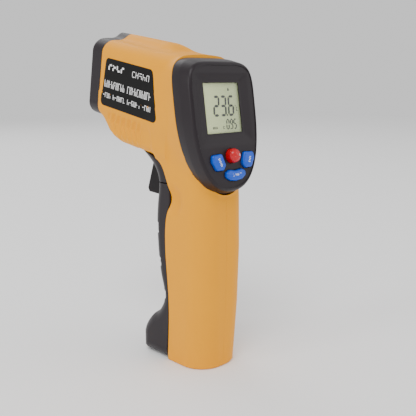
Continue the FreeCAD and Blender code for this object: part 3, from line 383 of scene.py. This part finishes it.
# ---------------------------------------------------------------- meshing
def dual_contour(field, low, high, step):
    """Vertices and quads of the surface where the field is zero, keeping its sharp edges."""
    low = np.array(low, float)
    count = np.ceil((np.array(high, float) - low) / step).astype(int) + 1
    axes = [low[i] + step * np.arange(count[i]) for i in range(3)]
    values = field(axes[0][:, None, None], axes[1][None, :, None], axes[2][None, None, :])
    values = np.broadcast_to(values, count)
    inside = values < 0
    cells = count - 1
    points, corners, quads = [], [], []
    for axis in range(3):
        first = [slice(None)] * 3
        second = [slice(None)] * 3
        first[axis], second[axis] = slice(None, -1), slice(1, None)
        change = inside[tuple(first)] != inside[tuple(second)]
        others = [i for i in range(3) if i != axis]
        for other in others:
            edge = [slice(None)] * 3
            edge[other] = [0, -1]
            change[tuple(edge)] = False
        index = np.argwhere(change)
        after = index.copy()
        after[:, axis] += 1
        a, b = values[tuple(index.T)], values[tuple(after.T)]
        start = low + step * index
        t0, t1, fa, fb = np.zeros(len(index)), np.ones(len(index)), a.copy(), b.copy()
        for _ in range(3):
            t = t0 + (t1 - t0) * fa / (fa - fb)
            p = start.copy()
            p[:, axis] += step * t
            f = field(p[:, 0], p[:, 1], p[:, 2])
            left = (f < 0) == (fa < 0)
            t0, fa = np.where(left, t, t0), np.where(left, f, fa)
            t1, fb = np.where(left, t1, t), np.where(left, fb, f)
        p[:, axis] = start[:, axis] + step * (t0 + (t1 - t0) * fa / (fa - fb))
        points.append(p)
        u, v = others
        ring = []
        for du, dv in ((0, 0), (-1, 0), (-1, -1), (0, -1)):
            cell = index.copy()
            cell[:, u] += du
            cell[:, v] += dv
            ring.append(np.ravel_multi_index(cell.T, cells))
        ring = np.stack(ring, 1)
        corners.append(ring)
        flip = (a < 0) == (axis == 1)
        quads.append(np.where(flip[:, None], ring[:, ::-1], ring))
    points, corners, quads = np.concatenate(points), np.concatenate(corners), np.concatenate(quads)
    h = 0.04 * step
    normals = []
    for axis in range(3):
        shift = np.zeros(3)
        shift[axis] = h
        normals.append(field(*(points + shift).T) - field(*(points - shift).T))
    normals = np.stack(normals, 1)
    normals /= np.linalg.norm(normals, axis=1, keepdims=True) + 1e-12
    used, slot = np.unique(corners.ravel(), return_inverse=True)
    total = len(used)

    def spread(values):
        return np.bincount(slot, np.repeat(values, 4), total)

    number = spread(np.ones(len(points)))
    mean = np.stack([spread(points[:, i]) for i in range(3)], 1) / number[:, None]
    matrix = np.zeros((total, 3, 3))
    for i in range(3):
        for j in range(i, 3):
            matrix[:, i, j] = matrix[:, j, i] = spread(normals[:, i] * normals[:, j])
    offset = np.sum(normals * points, axis=1)
    right = np.stack([spread(normals[:, i] * offset) for i in range(3)], 1)
    right -= np.einsum("nij,nj->ni", matrix, mean)
    matrix += np.eye(3) * (0.03 * number)[:, None, None]
    move = np.linalg.solve(matrix, right[:, :, None])[:, :, 0]
    base = low + step * np.stack(np.unravel_index(used, cells), 1)
    vertices = np.clip(mean + move, base - 0.1 * step, base + 1.1 * step)
    return vertices, np.searchsorted(used, quads)


def add_mesh(name, vertices, faces, angle=38):
    mesh = bpy.data.meshes.new(name)
    points = [tuple(v) for v in np.asarray(vertices) * MM]
    mesh.from_pydata(points, [], [tuple(int(i) for i in f) for f in faces])
    mesh.validate()
    mesh.shade_smooth()
    mesh.set_sharp_from_angle(angle=math.radians(angle))
    piece = bpy.data.objects.new(name, mesh)
    bpy.context.scene.collection.objects.link(piece)
    return piece


def moulding(name, field, low, high, step, body, nodes, material, angle=38, place=None):
    """A piece meshed from its field; place takes the field's own coordinates to the row frame."""
    vertices, faces = dual_contour(field, low, high, step)
    if place:
        vertices = np.stack(place(*vertices.T), 1)
    piece = add_mesh(name, vertices, faces, angle)
    finish_piece(piece, body, material)
    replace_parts(piece, *nodes)
    return piece


def finish_piece(piece, body, material):
    piece.data.materials.clear()
    piece.data.materials.append(material)
    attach(piece, body)
    return piece


def from_display(x, y, z):
    c, s = math.cos(DISPLAY_TILT), math.sin(DISPLAY_TILT)
    return (x, y * c + z * s + LCD[0], -y * s + z * c + LCD[1])


def from_barrel(x, y, z):
    c, s = math.cos(BARREL_PITCH), math.sin(BARREL_PITCH)
    return (x, y * c - z * s + NOSE[0], y * s + z * c + NOSE[1])


# ---------------------------------------------------------------- materials
def new_material(name):
    material = bpy.data.materials.new(name)
    material.use_nodes = True
    tree = material.node_tree
    shader = tree.nodes["Principled BSDF"]
    return material, tree, shader


def plastic(name, colour, roughness, grain=0.03, grain_scale=900, mottle=0.02, coat=0.0, tint=None, clear=0.3):
    """A moulded surface: slightly uneven colour and gloss, and a fine grain in its normal."""
    material, tree, shader = new_material(name)
    nodes, link = tree.nodes, tree.links.new
    place = nodes.new("ShaderNodeTexCoord")
    broad = nodes.new("ShaderNodeTexNoise")
    broad.inputs["Scale"].default_value = 60
    broad.inputs["Detail"].default_value = 3
    link(place.outputs["Object"], broad.inputs["Vector"])
    blend = nodes.new("ShaderNodeMix")
    blend.data_type = "RGBA"
    other = tint or [min(1, c * (1 + mottle * 3) + mottle * 0.1) for c in colour]
    blend.inputs[6].default_value = (*colour, 1)
    blend.inputs[7].default_value = (*other, 1)
    link(broad.outputs["Fac"], blend.inputs[0])
    link(blend.outputs[2], shader.inputs["Base Color"])
    gloss = nodes.new("ShaderNodeMapRange")
    gloss.inputs["To Min"].default_value = roughness - 0.04
    gloss.inputs["To Max"].default_value = roughness + 0.05
    link(broad.outputs["Fac"], gloss.inputs["Value"])
    link(gloss.outputs["Result"], shader.inputs["Roughness"])
    fine = nodes.new("ShaderNodeTexNoise")
    fine.inputs["Scale"].default_value = grain_scale
    fine.inputs["Detail"].default_value = 2
    link(place.outputs["Object"], fine.inputs["Vector"])
    bump = nodes.new("ShaderNodeBump")
    bump.inputs["Strength"].default_value = grain
    bump.inputs["Distance"].default_value = 0.0002
    link(fine.outputs["Fac"], bump.inputs["Height"])
    link(bump.outputs["Normal"], shader.inputs["Normal"])
    shader.inputs["Coat Weight"].default_value = coat
    shader.inputs["Specular IOR Level"].default_value = clear
    return material


def metal(name, colour, roughness, stretch=(1, 1, 12)):
    """Drawn or brushed metal: fine streaks in gloss and colour."""
    material, tree, shader = new_material(name)
    nodes, link = tree.nodes, tree.links.new
    place = nodes.new("ShaderNodeTexCoord")
    scale = nodes.new("ShaderNodeMapping")
    scale.inputs["Scale"].default_value = [300 * s for s in stretch]
    streak = nodes.new("ShaderNodeTexNoise")
    streak.inputs["Scale"].default_value = 3
    link(place.outputs["Object"], scale.inputs["Vector"])
    link(scale.outputs["Vector"], streak.inputs["Vector"])
    tone = nodes.new("ShaderNodeMix")
    tone.data_type = "RGBA"
    tone.inputs[6].default_value = (*[c * 0.85 for c in colour], 1)
    tone.inputs[7].default_value = (*colour, 1)
    link(streak.outputs["Fac"], tone.inputs[0])
    link(tone.outputs[2], shader.inputs["Base Color"])
    gloss = nodes.new("ShaderNodeMapRange")
    gloss.inputs["To Min"].default_value = roughness - 0.08
    gloss.inputs["To Max"].default_value = roughness + 0.08
    link(streak.outputs["Fac"], gloss.inputs["Value"])
    link(gloss.outputs["Result"], shader.inputs["Roughness"])
    shader.inputs["Metallic"].default_value = 1.0
    return material


def clear_pane(name, tint):
    """A thin clear pane: see-through, with a faint reflection and a slight unevenness."""
    material, tree, shader = new_material(name)
    nodes, link = tree.nodes, tree.links.new
    place = nodes.new("ShaderNodeTexCoord")
    noise = nodes.new("ShaderNodeTexNoise")
    noise.inputs["Scale"].default_value = 40
    link(place.outputs["Object"], noise.inputs["Vector"])
    gloss = nodes.new("ShaderNodeMapRange")
    gloss.inputs["To Min"].default_value = 0.03
    gloss.inputs["To Max"].default_value = 0.08
    link(noise.outputs["Fac"], gloss.inputs["Value"])
    link(gloss.outputs["Result"], shader.inputs["Roughness"])
    shader.inputs["Base Color"].default_value = (*tint, 1)
    shader.inputs["Alpha"].default_value = 0.05
    shader.inputs["Specular IOR Level"].default_value = 0.3
    return material


def lcd_material():
    """Grey-green display glass with painted light: a little lighter towards its left side, as if lit more from the
    left.
    """
    material, tree, shader = new_material("lcd_glass")
    nodes, link = tree.nodes, tree.links.new
    place = nodes.new("ShaderNodeTexCoord")
    split = nodes.new("ShaderNodeSeparateXYZ")
    link(place.outputs["Object"], split.inputs["Vector"])
    across = nodes.new("ShaderNodeMapRange")
    across.inputs["From Min"].default_value = -0.012
    across.inputs["From Max"].default_value = 0.012
    link(split.outputs["X"], across.inputs["Value"])
    noise = nodes.new("ShaderNodeTexNoise")
    noise.inputs["Scale"].default_value = 2500
    link(place.outputs["Object"], noise.inputs["Vector"])
    mix = nodes.new("ShaderNodeMath")
    mix.operation = "MULTIPLY_ADD"
    mix.inputs[1].default_value = 0.08
    link(noise.outputs["Fac"], mix.inputs[0])
    link(across.outputs["Result"], mix.inputs[2])
    # Painted light: the ramp runs from lighter at the glass's left end to darker at its right end.
    painted_light_ramp = nodes.new("ShaderNodeValToRGB")
    painted_light_ramp.color_ramp.elements[0].color = (0.60, 0.67, 0.33, 1)
    painted_light_ramp.color_ramp.elements[1].color = (0.40, 0.47, 0.22, 1)
    link(mix.outputs["Value"], painted_light_ramp.inputs["Fac"])
    link(painted_light_ramp.outputs["Color"], shader.inputs["Base Color"])
    shader.inputs["Roughness"].default_value = 0.45
    return material


def board_material():
    """Green solder mask over copper tracks."""
    material, tree, shader = new_material("circuit_board")
    nodes, link = tree.nodes, tree.links.new
    place = nodes.new("ShaderNodeTexCoord")
    tracks = nodes.new("ShaderNodeTexBrick")
    tracks.inputs["Scale"].default_value = 260
    tracks.inputs["Mortar Size"].default_value = 0.03
    tracks.inputs["Color1"].default_value = (0.02, 0.16, 0.07, 1)
    tracks.inputs["Color2"].default_value = (0.025, 0.20, 0.09, 1)
    tracks.inputs["Mortar"].default_value = (0.06, 0.30, 0.14, 1)
    link(place.outputs["Object"], tracks.inputs["Vector"])
    link(tracks.outputs["Color"], shader.inputs["Base Color"])
    shader.inputs["Roughness"].default_value = 0.35
    return material


def cell_material():
    """A battery's sleeve: dark with one bright band near an end."""
    material, tree, shader = new_material("cell_sleeve")
    nodes, link = tree.nodes, tree.links.new
    place = nodes.new("ShaderNodeTexCoord")
    split = nodes.new("ShaderNodeSeparateXYZ")
    link(place.outputs["Object"], split.inputs["Vector"])
    along = nodes.new("ShaderNodeMapRange")
    along.inputs["From Min"].default_value = 0.022
    along.inputs["From Max"].default_value = 0.067
    link(split.outputs["Z"], along.inputs["Value"])
    bands = nodes.new("ShaderNodeValToRGB")
    bands.color_ramp.interpolation = "CONSTANT"
    elements = bands.color_ramp.elements
    elements[0].color = (0.55, 0.55, 0.57, 1)
    elements[1].position = 0.96
    elements[1].color = (0.55, 0.55, 0.57, 1)
    for position, colour in ((0.02, (0.03, 0.05, 0.09, 1)), (0.72, (0.62, 0.40, 0.18, 1))):
        element = elements.new(position)
        element.color = colour
    link(along.outputs["Result"], bands.inputs["Fac"])
    link(bands.outputs["Color"], shader.inputs["Base Color"])
    shader.inputs["Metallic"].default_value = 0.6
    shader.inputs["Roughness"].default_value = 0.3
    return material


YELLOW = plastic("yellow_shell", (0.82, 0.325, 0.0), 0.48, grain=0.05, tint=(0.85, 0.345, 0.0), clear=0.16)
BLACK = plastic("black_moulding", (0.0105, 0.0066, 0.0090), 0.40, grain=0.10, tint=(0.0135, 0.0088, 0.0118),
                clear=0.3)
TRIGGER_BLACK = plastic("trigger_black", (0.006, 0.0045, 0.0055), 0.5, grain=0.10, clear=0.2)
MATT_BLACK = plastic("matt_black", (0.012, 0.012, 0.012), 0.65, grain=0.15)
LABEL_BLACK = plastic("label_film", (0.003, 0.003, 0.003), 0.45, grain=0.02, clear=0.15)
PRINT_WHITE = plastic("print_white", (0.82, 0.82, 0.82), 0.5, grain=0.0)
RED = plastic("red_key", (0.50, 0.001, 0.006), 0.25, grain=0.02, tint=(0.54, 0.002, 0.008), clear=0.45)
BLUE = plastic("blue_key", (0.001, 0.065, 0.52), 0.28, grain=0.02, tint=(0.002, 0.08, 0.57), clear=0.35)
RUBBER = plastic("grey_rubber", (0.12, 0.12, 0.125), 0.7, grain=0.2)
DARK_RUBBER = plastic("dark_rubber", (0.02, 0.02, 0.02), 0.7, grain=0.2)
MILKY = plastic("milky_plastic", (0.72, 0.74, 0.70), 0.4, grain=0.02)
WHITE = plastic("white_plastic", (0.7, 0.7, 0.68), 0.4, grain=0.03)
CHIP = plastic("chip_resin", (0.015, 0.015, 0.016), 0.5, grain=0.2)
LENS = plastic("lens_resin", (0.42, 0.40, 0.36), 0.22, grain=0.0, clear=0.7)
RIBBON = plastic("ribbon_film", (0.5, 0.5, 0.5), 0.4, grain=0.02)
RED_LEAD = plastic("red_lead", (0.4, 0.01, 0.01), 0.4, grain=0.03)
BLACK_LEAD = plastic("black_lead", (0.01, 0.01, 0.01), 0.4, grain=0.03)
SEGMENT = plastic("lcd_segment", (0.002, 0.003, 0.002), 0.6, grain=0.0, mottle=0.0, clear=0.05)
STEEL = metal("bright_steel", (0.60, 0.60, 0.62), 0.32)
BRASS = metal("brass", (0.62, 0.42, 0.16), 0.3)
FILTER = metal("coated_filter", (0.25, 0.22, 0.32), 0.15, stretch=(1, 1, 1))
PANE = clear_pane("window_pane", (0.9, 0.95, 0.9))
SMALL_LENS = clear_pane("laser_lens", (0.85, 0.88, 0.95))
LCD_GLASS, BOARD, CELL = lcd_material(), board_material(), cell_material()

NODE_MATERIALS = {
    "housing_screws": STEEL, "lens_ring": MATT_BLACK, "ir_lens": LENS, "optics_tube": MATT_BLACK,
    "optics_bracket": MATT_BLACK, "thermopile": STEEL, "thermopile_filter": FILTER, "sensor_board": BOARD,
    "sensor_ribbon": RIBBON, "laser_module": BRASS, "laser_lens": SMALL_LENS, "laser_leads": RED_LEAD,
    "display_window": PANE, "lcd_glass": LCD_GLASS, "lcd_backlight": MILKY, "lcd_frame": WHITE,
    "lcd_connector": DARK_RUBBER, "main_board": BOARD, "board_screws": STEEL, "board_chips": CHIP,
    "piezo_buzzer": CHIP, "keypad_mat": RUBBER, "door_pin": STEEL, "trigger_pin": STEEL,
    "trigger_spring": STEEL, "trigger_switch": CHIP, "switch_plunger": WHITE, "switch_board": BOARD,
    "battery_tray": MATT_BLACK, "battery_cell_left": CELL, "battery_cell_right": CELL, "contact_bridge": STEEL,
    "contact_positive": STEEL, "contact_negative": STEEL, "battery_springs": STEEL,
    "battery_lead_red": RED_LEAD, "battery_lead_black": BLACK_LEAD, "red_key_pill": DARK_RUBBER,
    "left_key_pill": DARK_RUBBER, "right_key_pill": DARK_RUBBER, "lower_key_pill": DARK_RUBBER,
}
for name, material in NODE_MATERIALS.items():
    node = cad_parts[name]
    node.data.materials.clear()
    node.data.materials.append(material)

# ---------------------------------------------------------------- mouldings
FINE = 1.0


def housings():
    vertices, faces = dual_contour(housing_field, (-23.4, -27, -1.5), (0.9, 57, 169), 0.6 * FINE)
    for name, side, keep in (("housing_left", 1, faces), ("housing_right", -1, faces[:, ::-1])):
        piece = add_mesh("shell_" + name[8:], vertices * (side, 1, 1), keep, 32)
        finish_piece(piece, "body", YELLOW)
        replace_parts(piece, name)


housings()
moulding("nose_shell", nose_field, (-19, -10.1, -20.6), (19, 0.9, 26.8), 0.4 * FINE, "body", ["nose_cap"],
         BLACK, 38, from_barrel)
moulding("bezel_shell", bezel_field, (-23, -3.4, -42), (23, 10.2, 26.6), 0.38 * FINE, "body", ["display_bezel"],
         BLACK, 32, from_display)
moulding("door_shell", door_field, (-16.2, 1, -1), (16.2, 29.5, 93), 0.45 * FINE, "door", ["battery_door"],
         BLACK)
moulding("surround_shell", surround_field, (-16.2, 1, 90), (16.2, 33, 110), 0.4 * FINE, "body",
         ["trigger_surround"], BLACK)
moulding("trigger_lever", trigger_field, (-6.2, 9, 80), (6.2, 34, 106), 0.3 * FINE, "trigger", ["trigger"],
         TRIGGER_BLACK)
KEYS = ("red_key", "left_key", "right_key", "lower_key")
KEY_SPANS = ((-4, 6, -27, -18), (-14.5, -3, -30, -20), (5.5, 17, -30, -20), (-6.5, 10.5, -36, -27.5))
for index, (name, span) in enumerate(zip(KEYS, KEY_SPANS)):
    low, high = (span[0], -8.2, span[2]), (span[1], 1.2, span[3])
    moulding(name + "_cap", key_field(index), low, high, 0.22 * FINE, name, [name],
             RED if index == 0 else BLUE, 50, from_display)


# ---------------------------------------------------------------- labels and printing
def plate(name, outlines, lift, thick, place, material, body="body"):
    """Thin plates from closed outlines in a plane; place maps (u, v, height) to millimetres."""
    vertices, faces = [], []
    for outline in outlines:
        n, base = len(outline), len(vertices)
        for height in (lift, lift + thick):
            vertices += [place(u, v, height) for u, v in outline]
        faces.append([base + n + i for i in range(n)])
        faces.append([base + i for i in reversed(range(n))])
        faces += [[base + i, base + (i + 1) % n, base + n + (i + 1) % n, base + n + i] for i in range(n)]
    piece = add_mesh(name, vertices, faces, 30)
    bpy.context.view_layer.objects.active = piece
    work = bmesh.new()
    work.from_mesh(piece.data)
    bmesh.ops.recalc_face_normals(work, faces=work.faces)
    work.to_mesh(piece.data)
    work.free()
    return finish_piece(piece, body, material)


def bar(u, v, wide, tall, radius=0.12, lean=0.0):
    points = [(u + lean * tall, v + tall), (u, v), (u + wide, v), (u + wide + lean * tall, v + tall)]
    return rounded(points, radius, 3)


LABEL_OUTLINE = rounded(LABEL, 2.4, 8)
FILM_RINGS = (0.993, 0.95, 0.88, 0.78, 0.66, 0.54, 0.42, 0.3, 0.18, 0.06)  # each ring's size against the outline


def skin_x(y, z, lift):
    """How far out the body's side is at (y, z), plus lift."""
    low, high = np.full(np.shape(y), 8.0), np.full(np.shape(y), 27.0)
    for _ in range(22):
        middle = (low + high) / 2
        inside = body_field(middle, y, z) < lift
        low, high = np.where(inside, middle, low), np.where(inside, high, middle)
    return low


def label_film(name, side):
    """A film with the label's outline that follows the body's side."""
    outline = []
    for (ax, ay), (bx, by) in zip(LABEL_OUTLINE, LABEL_OUTLINE[1:] + LABEL_OUTLINE[:1]):
        parts = max(1, int(math.hypot(bx - ax, by - ay) / 2.5))
        outline += [(ax + (bx - ax) * t / parts, ay + (by - ay) * t / parts) for t in range(parts)]
    outline = np.array(outline)
    middle, count = outline.mean(axis=0), len(outline)
    rings = [(1.0, -0.3), (1.0, 0.12)] + [(scale, 0.15) for scale in FILM_RINGS]
    vertices, faces = [], []
    for scale, lift in rings:
        u, v = (middle + (outline - middle) * scale).T
        _, y, z = from_barrel(0, u, v)
        vertices.append(np.stack([side * skin_x(y, z, lift), y, z], 1))
    for ring in range(len(rings) - 1):
        for i in range(count):
            a, b = ring * count + i, ring * count + (i + 1) % count
            faces.append((a, b, b + count, a + count)[::-side])
    faces.append([(len(rings) - 1) * count + i for i in range(count)][::-side])
    return finish_piece(add_mesh(name, np.concatenate(vertices), faces, 30), "body", LABEL_BLACK)


def print_place(side):
    def place(u, v, height):
        _, y, z = from_barrel(0, u, v)
        return (side * float(skin_x(np.array(y), np.array(z), 0.26 + height)), y, z)
    return place


def mark(pattern, u, v, wide, tall, thick, step):
    """A made-up sign from upright and level strokes; step is -1 where u runs towards the sign's right."""
    lines = {"l": (0, 0, thick, tall), "r": (wide - thick, 0, thick, tall),
             "s": (wide - thick, 0, thick, tall * 0.55), "t": (0, tall - thick, wide, thick),
             "m": (0, tall * 0.46, wide, thick), "b": (0, 0, wide, thick)}
    out = []
    for key in pattern:
        a, b, across, up = lines[key]
        out.append([(u + step * a, v + b), (u + step * (a + across), v + b),
                    (u + step * (a + across), v + b + up), (u + step * a, v + b + up)])
    return out


def label_point(s, t):
    """A place on the label: s from its front edge to its rear edge, t from its top to its foot."""
    return -13.6 + 2.0 * t + s * (-37.0 - 9.6 * t), 12.4 - 24.4 * t


LABEL_ROWS = (
    (0.08, 0.43, 0.115, 0.235, 0.95, ["lt", "lm", "lb", "lt"]),
    (0.58, 0.93, 0.13, 0.25, 0.36, ["ltb", "lrm", "tms", "lsm", "lrt"]),
    (0.035, 0.93, 0.455, 0.605, 0.42, "ls lrt lm lsm ltm lrm lt lsb lms - lt lrm lm lsm ltb lrt lms lrb lt lm".split()),
    (0.04, 0.92, 0.715, 0.82, 0.34, "m lt lrb ls - lms m ltr lrm lt lb - ls m lts lrb lm s - m lt lsm lr".split()),
)


def label_marks():
    out = []
    for first, last, top, foot, thick, signs in LABEL_ROWS:
        pitch = (last - first) / len(signs)
        for number, sign in enumerate(signs):
            if sign == "-":
                continue
            u, v = label_point(first + pitch * number, foot)
            end, _ = label_point(first + pitch * (number + 0.74), foot)
            tall = (foot - top) * 24.4
            out += mark(sign, u, v, abs(end - u), tall, thick, -1)
    return out


for side, name in ((-1, "label_left"), (1, "label_right")):
    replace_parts(label_film("film_" + name[6:], side), name)
    plate("print_" + name[6:], label_marks(), 0.0, 0.05, print_place(side), PRINT_WHITE)


# ---------------------------------------------------------------- display and key signs
SEGMENTS = {"2": "abged", "3": "abgcd", "6": "afgecd", "0": "abcdef", "9": "abcdfg", "5": "afgcd"}


def digit(value, u, v, wide, tall, thick, lean):
    """One seven-segment digit whose lower left corner is (u, v)."""
    half, gap = tall / 2, 0.10 * thick + 0.04
    bars = {"a": (0, tall, 0), "g": (0, half, 0), "d": (0, 0, 0), "f": (0, half, 1), "e": (0, 0, 1),
            "b": (wide, half, 1), "c": (wide, 0, 1)}
    out = []
    for name in SEGMENTS[value]:
        a, b, upright = bars[name]
        t = thick / 2
        if upright:
            shape = [(a - t, b + t + gap), (a, b + gap), (a + t, b + t + gap), (a + t, b + half - t - gap),
                     (a, b + half - gap), (a - t, b + half - t - gap)]
        else:
            shape = [(gap + t, b - t), (gap, b), (gap + t, b + t), (wide - gap - t, b + t), (wide - gap, b),
                     (wide - gap - t, b - t)]
        out.append([(u + p + lean * q, v + q) for p, q in shape])
    return out


def disc(u, v, radius, steps=16):
    return [(u + radius * math.cos(2 * math.pi * i / steps), v + radius * math.sin(2 * math.pi * i / steps))
            for i in range(steps)]


def lcd_place(u, v, height):
    return from_display(u, -height, v)


def lcd_marks():
    out = []
    for value, u in (("2", -5.5), ("3", -0.9), ("6", 4.2)):
        out += digit(value, u, -3.3, 3.1, 8.6, 1.15, 0.07)
    out.append(disc(3.0, -3.3, 0.5, 10))
    for value, u in (("0", 2.0), ("9", 4.5), ("5", 6.9)):
        out += digit(value, u, -9.8, 1.5, 4.3, 0.72, 0.05)
    out.append(disc(4.0, -9.8, 0.25, 8))
    out.append(rounded([(4.5, 7.9), (5.7, 7.9), (5.5, 9.2), (4.7, 9.2)], 0.3, 4))
    out += [bar(u, -9.6, 0.5, 1.1) for u in (-7.2, -6.4, -5.6, -4.8)]
    out += [bar(-0.5, -9.7, 0.3, 1.3), bar(-0.1, -9.7, 0.7, 0.3), bar(-0.1, -8.7, 0.7, 0.3)]
    out += [disc(9.0, 0.9, 0.28, 8), bar(9.3, -1.6, 0.35, 1.9)]
    out += [bar(9.5, -1.6, 0.8, 0.35), bar(9.5, -0.1, 0.8, 0.35)]
    return out


plate("lcd_segments", lcd_marks(), 0.0, 0.04, lcd_place, SEGMENT)


def key_top(index, u, v):
    """The depth of a key's face at (u, v) in the display's frame."""
    low, high = -8.5, -0.5
    for _ in range(24):
        middle = (low + high) / 2
        if key_field(index)(*np.array((u, middle, v))) < 0:
            high = middle
        else:
            low = middle
    return high


def key_place(index):
    def place(u, v, height):
        u, v = u + KEY_SHIFTS[index][0], v + KEY_SHIFTS[index][1]
        return from_display(u, key_top(index, u, v) - height, v)
    return place


def turned(shapes, u, v, angle):
    c, s = math.cos(math.radians(angle)), math.sin(math.radians(angle))
    return [[(u + p * c - q * s, v + p * s + q * c) for p, q in shape] for shape in shapes]


def tick_row(count, pitch, wide, tall):
    start = -pitch * (count - 1) / 2
    return [bar(start + pitch * i - wide / 2, -tall / 2 * (1, 0.7)[i % 2], wide, tall * (1, 0.7)[i % 2], 0.08)
            for i in range(count)]


KEY_SIGNS = (
    turned([[(-1.6, -0.7), (-0.2, -0.7), (-0.9, 0.9)]] + [disc(1.2, 0.0, 0.55, 12)], 0.0, -22.3, 0),
    turned(tick_row(6, 0.72, 0.34, 1.3), -9.6, -25.0, -68),
    turned(tick_row(4, 0.8, 0.38, 1.3), 9.8, -25.0, 68),
    turned([[(-2.9, -0.6), (-1.9, -0.6), (-2.4, 0.6)], [(1.9, 0.6), (2.9, 0.6), (2.4, -0.6)]]
           + tick_row(4, 0.62, 0.3, 1.1), 0.0, -31.1, 0),
)
for index, name in enumerate(KEYS):
    plate(name + "_sign", KEY_SIGNS[index], -0.02, 0.05, key_place(index), PRINT_WHITE,
          name)

# ---------------------------------------------------------------- room
def floor_and_light():
    bpy.ops.mesh.primitive_plane_add(size=4.0, location=(0, 0, -0.0002))
    floor = bpy.context.object
    floor.name = "floor"
    material = plastic("paper_floor", (0.93, 0.93, 0.93), 0.7, grain=0.0, grain_scale=50, mottle=0.0)
    floor.data.materials.append(material)
    floor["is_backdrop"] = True
    world = bpy.data.worlds.new("room")
    bpy.context.scene.world = world
    world.use_nodes = True
    world.node_tree.nodes["Background"].inputs["Color"].default_value = (1, 1, 1, 1)
    world.node_tree.nodes["Background"].inputs["Strength"].default_value = 0.85
    lights = (
        ("key", (-0.9, -0.5, 1.5), 0.8, 15.0),
        ("fill", (0.8, -1.2, 0.8), 1.2, 5.0),
        ("edge", (-1.1, 0.25, 0.45), 0.25, 3.0),
        ("back", (0.3, 1.2, 1.0), 0.9, 5.0),
    )
    for name, position, size, power in lights:
        data = bpy.data.lights.new(name, "AREA")
        data.size = size
        data.energy = power
        lamp = bpy.data.objects.new(name, data)
        bpy.context.scene.collection.objects.link(lamp)
        lamp.location = position
        lamp.rotation_euler = (Vector((0, 0, 0.09)) - Vector(position)).to_track_quat("-Z", "Y").to_euler()


def camera():
    azimuth, elevation, distance = math.radians(44.38), math.radians(11.28), 328.48
    right = Vector((math.cos(azimuth), -math.sin(azimuth), 0))
    back = Vector((-math.sin(azimuth) * math.cos(elevation), -math.cos(azimuth) * math.cos(elevation),
                   math.sin(elevation)))
    up = back.cross(right)
    target = right * 5.51 + Vector((0, 0, 78.25))
    data = bpy.data.cameras.new("camera")
    data.lens = 656.32 / 416 * 36
    data.sensor_width = 36
    data.clip_start, data.clip_end = 0.01, 20
    view = bpy.data.objects.new("camera", data)
    bpy.context.scene.collection.objects.link(view)
    place = Matrix((right, up, back)).transposed().to_4x4()
    place.translation = (target + back * distance) * MM
    view.matrix_world = place
    bpy.context.scene.camera = view


floor_and_light()
camera()

low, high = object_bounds()
{"cad": [list(cad_low), list(cad_high)], "visual": [list(low), list(high)]}
